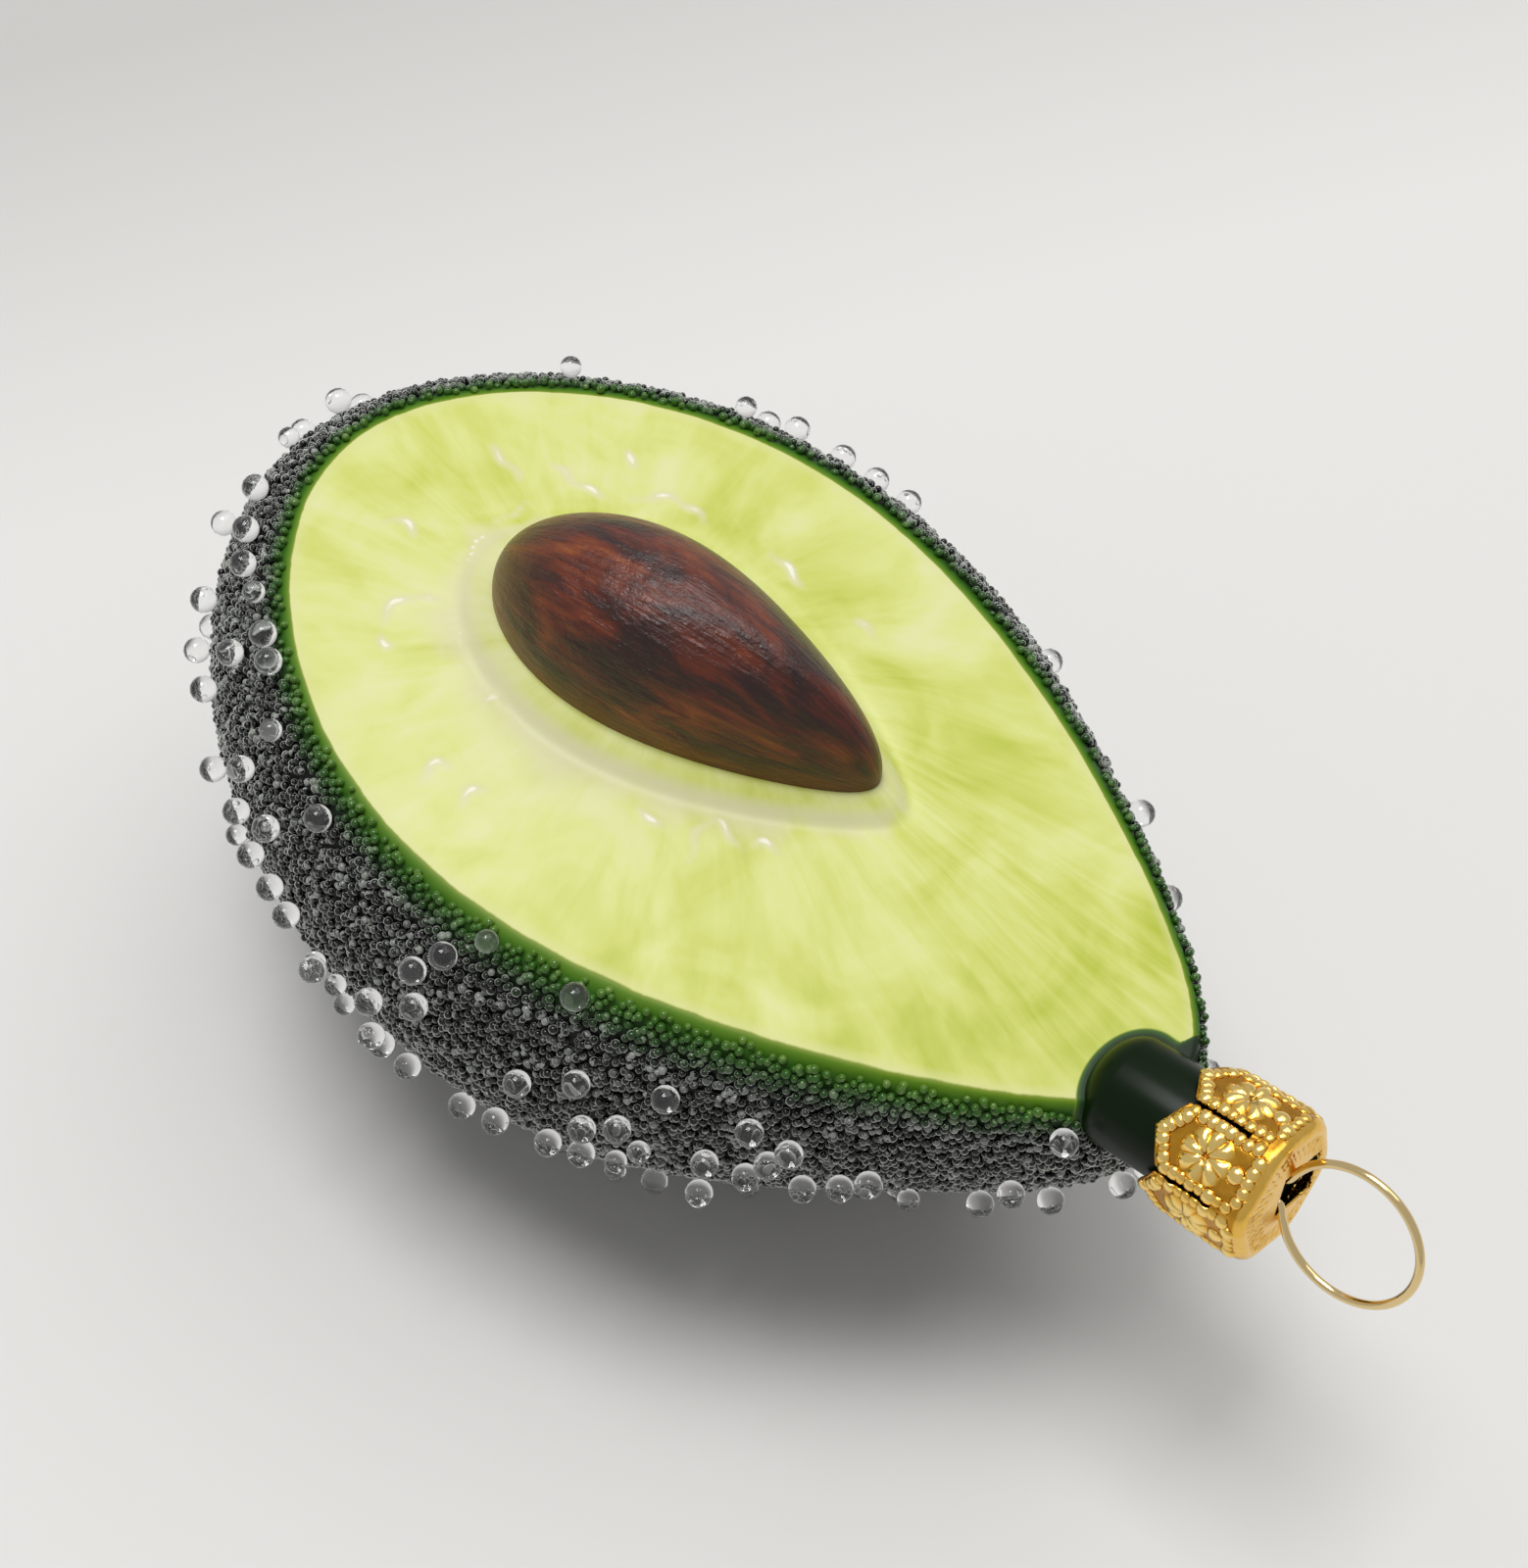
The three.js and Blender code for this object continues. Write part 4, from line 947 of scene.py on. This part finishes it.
# Drawn brass wire with a polished, pale gold plating.
wire = new_material("pale_gold_plated_wire")
tree = wire.node_tree
polished = add_node(
    tree, "BsdfPrincipled", Base_Color=linear("#e9cf98"), Metallic=1.0, Roughness=0.12)
add_node(tree, "OutputMaterial", Surface=polished.outputs[0])
hanger.data.materials.append(wire)


# The table, the light and the camera
# A pale sheet of board, a soft lamp overhead, a broader and weaker one behind, and a white room.

floor_mesh = bpy.data.meshes.new("floor")
floor_mesh.from_pydata([(-3, -3, 0), (3, -3, 0), (3, 3, 0), (-3, 3, 0)], [], [(0, 1, 2, 3)])
floor = bpy.data.objects.new("floor", floor_mesh)
bpy.context.scene.collection.objects.link(floor)

# Matt pale board, with a little painted shade that greys it toward the back of the table, at the
# left.
BACK_WAY = (-0.85, 0.53, 0)
board = new_material("matt_pale_board")
tree = board.node_tree
table_place = add_node(tree, "TexCoord").outputs["Object"]
back_share = add_node(
    tree, "VectorMath", {"operation": "DOT_PRODUCT"}, i0=table_place, i1=BACK_WAY).outputs["Value"]
# Painted shade: the board turns greyer toward the back, at the left.
painted_shade_share = add_node(tree, "MapRange", Value=back_share, i1=0.075, i2=0.145).outputs[0]
board_with_painted_shade = add_node(
    tree, "ValToRGB", Fac=painted_shade_share,
    stops=((0.0, "#f0efec"), (0.3, "#e9e8e5"), (1.0, "#d3d1ce"))).outputs[0]
matt = add_node(tree, "BsdfPrincipled", Base_Color=board_with_painted_shade, Roughness=0.7)
add_node(tree, "OutputMaterial", Surface=matt.outputs[0])
floor_mesh.materials.append(board)

# The room looks bright in the glass and the metal, but lights the object only a little.
room = bpy.data.worlds.new("white_room")
room.use_nodes = True
tree = room.node_tree
tree.nodes.clear()
ray = add_node(tree, "LightPath")
glossy_or_clear = add_node(
    tree, "Math", {"operation": "MAXIMUM"},
    i0=ray.outputs["Is Glossy Ray"], i1=ray.outputs["Is Transmission Ray"]).outputs[0]
seen = add_node(
    tree, "Math", {"operation": "MAXIMUM"},
    i0=glossy_or_clear, i1=ray.outputs["Is Camera Ray"]).outputs[0]
strength = add_node(tree, "MapRange", Value=seen, i3=0.23, i4=0.5).outputs[0]
air = add_node(tree, "Background", Color=(1, 1, 1, 1), Strength=strength)
add_node(tree, "OutputWorld", Surface=air.outputs[0])
bpy.context.scene.world = room


def add_lamp(name, place, size, power):
    """A square area lamp, in metres and watts, turned to face the ornament at the origin."""
    lamp = bpy.data.lights.new(name, "AREA")
    lamp.size, lamp.energy = size, power
    holder = bpy.data.objects.new(name, lamp)
    holder.location = place
    tilt = np.arctan2(np.hypot(place[0], place[1]), place[2])
    holder.rotation_euler = (tilt, 0, np.arctan2(-place[1], -place[0]) - np.pi / 2)
    bpy.context.scene.collection.objects.link(holder)


add_lamp("overhead_lamp", (-0.19, 0.0, 1.04), 0.45, 6.0)
add_lamp("back_softbox", (0.05, 0.5, 0.95), 0.8, 2.7)

CAMERA_TARGET, CAMERA_DISTANCE = np.array((44.643, -1.778, 0)), 205.858
CAMERA_AZIMUTH, CAMERA_ELEVATION, CAMERA_ROLL = np.radians((32.96, 59.64, 8.0))
CAMERA_LENS, CAMERA_SENSOR, CAMERA_NEAR = 63, 36, 0.01
back = np.array((
    np.sin(CAMERA_AZIMUTH) * np.cos(CAMERA_ELEVATION),
    -np.cos(CAMERA_AZIMUTH) * np.cos(CAMERA_ELEVATION),
    np.sin(CAMERA_ELEVATION),
))
right = np.cross(-back, (0, 0, 1))
right /= np.linalg.norm(right)
up = np.cross(right, -back)
rolled_right = np.cos(CAMERA_ROLL) * right + np.sin(CAMERA_ROLL) * up
rolled_up = -np.sin(CAMERA_ROLL) * right + np.cos(CAMERA_ROLL) * up
pose = np.eye(4)
pose[:3, :3] = (np.array((rolled_right, rolled_up, back)) @ ornament_in_frame).T
pose[:3, 3] = placed(CAMERA_TARGET + back * CAMERA_DISTANCE)
camera = bpy.data.objects.new("camera", bpy.data.cameras.new("camera"))
camera.data.lens, camera.data.sensor_width = CAMERA_LENS, CAMERA_SENSOR
camera.data.clip_start = CAMERA_NEAR
camera.matrix_world = Matrix(pose.tolist())
bpy.context.scene.collection.objects.link(camera)
bpy.context.scene.camera = camera
bpy.context.scene.view_settings.view_transform = "Standard"
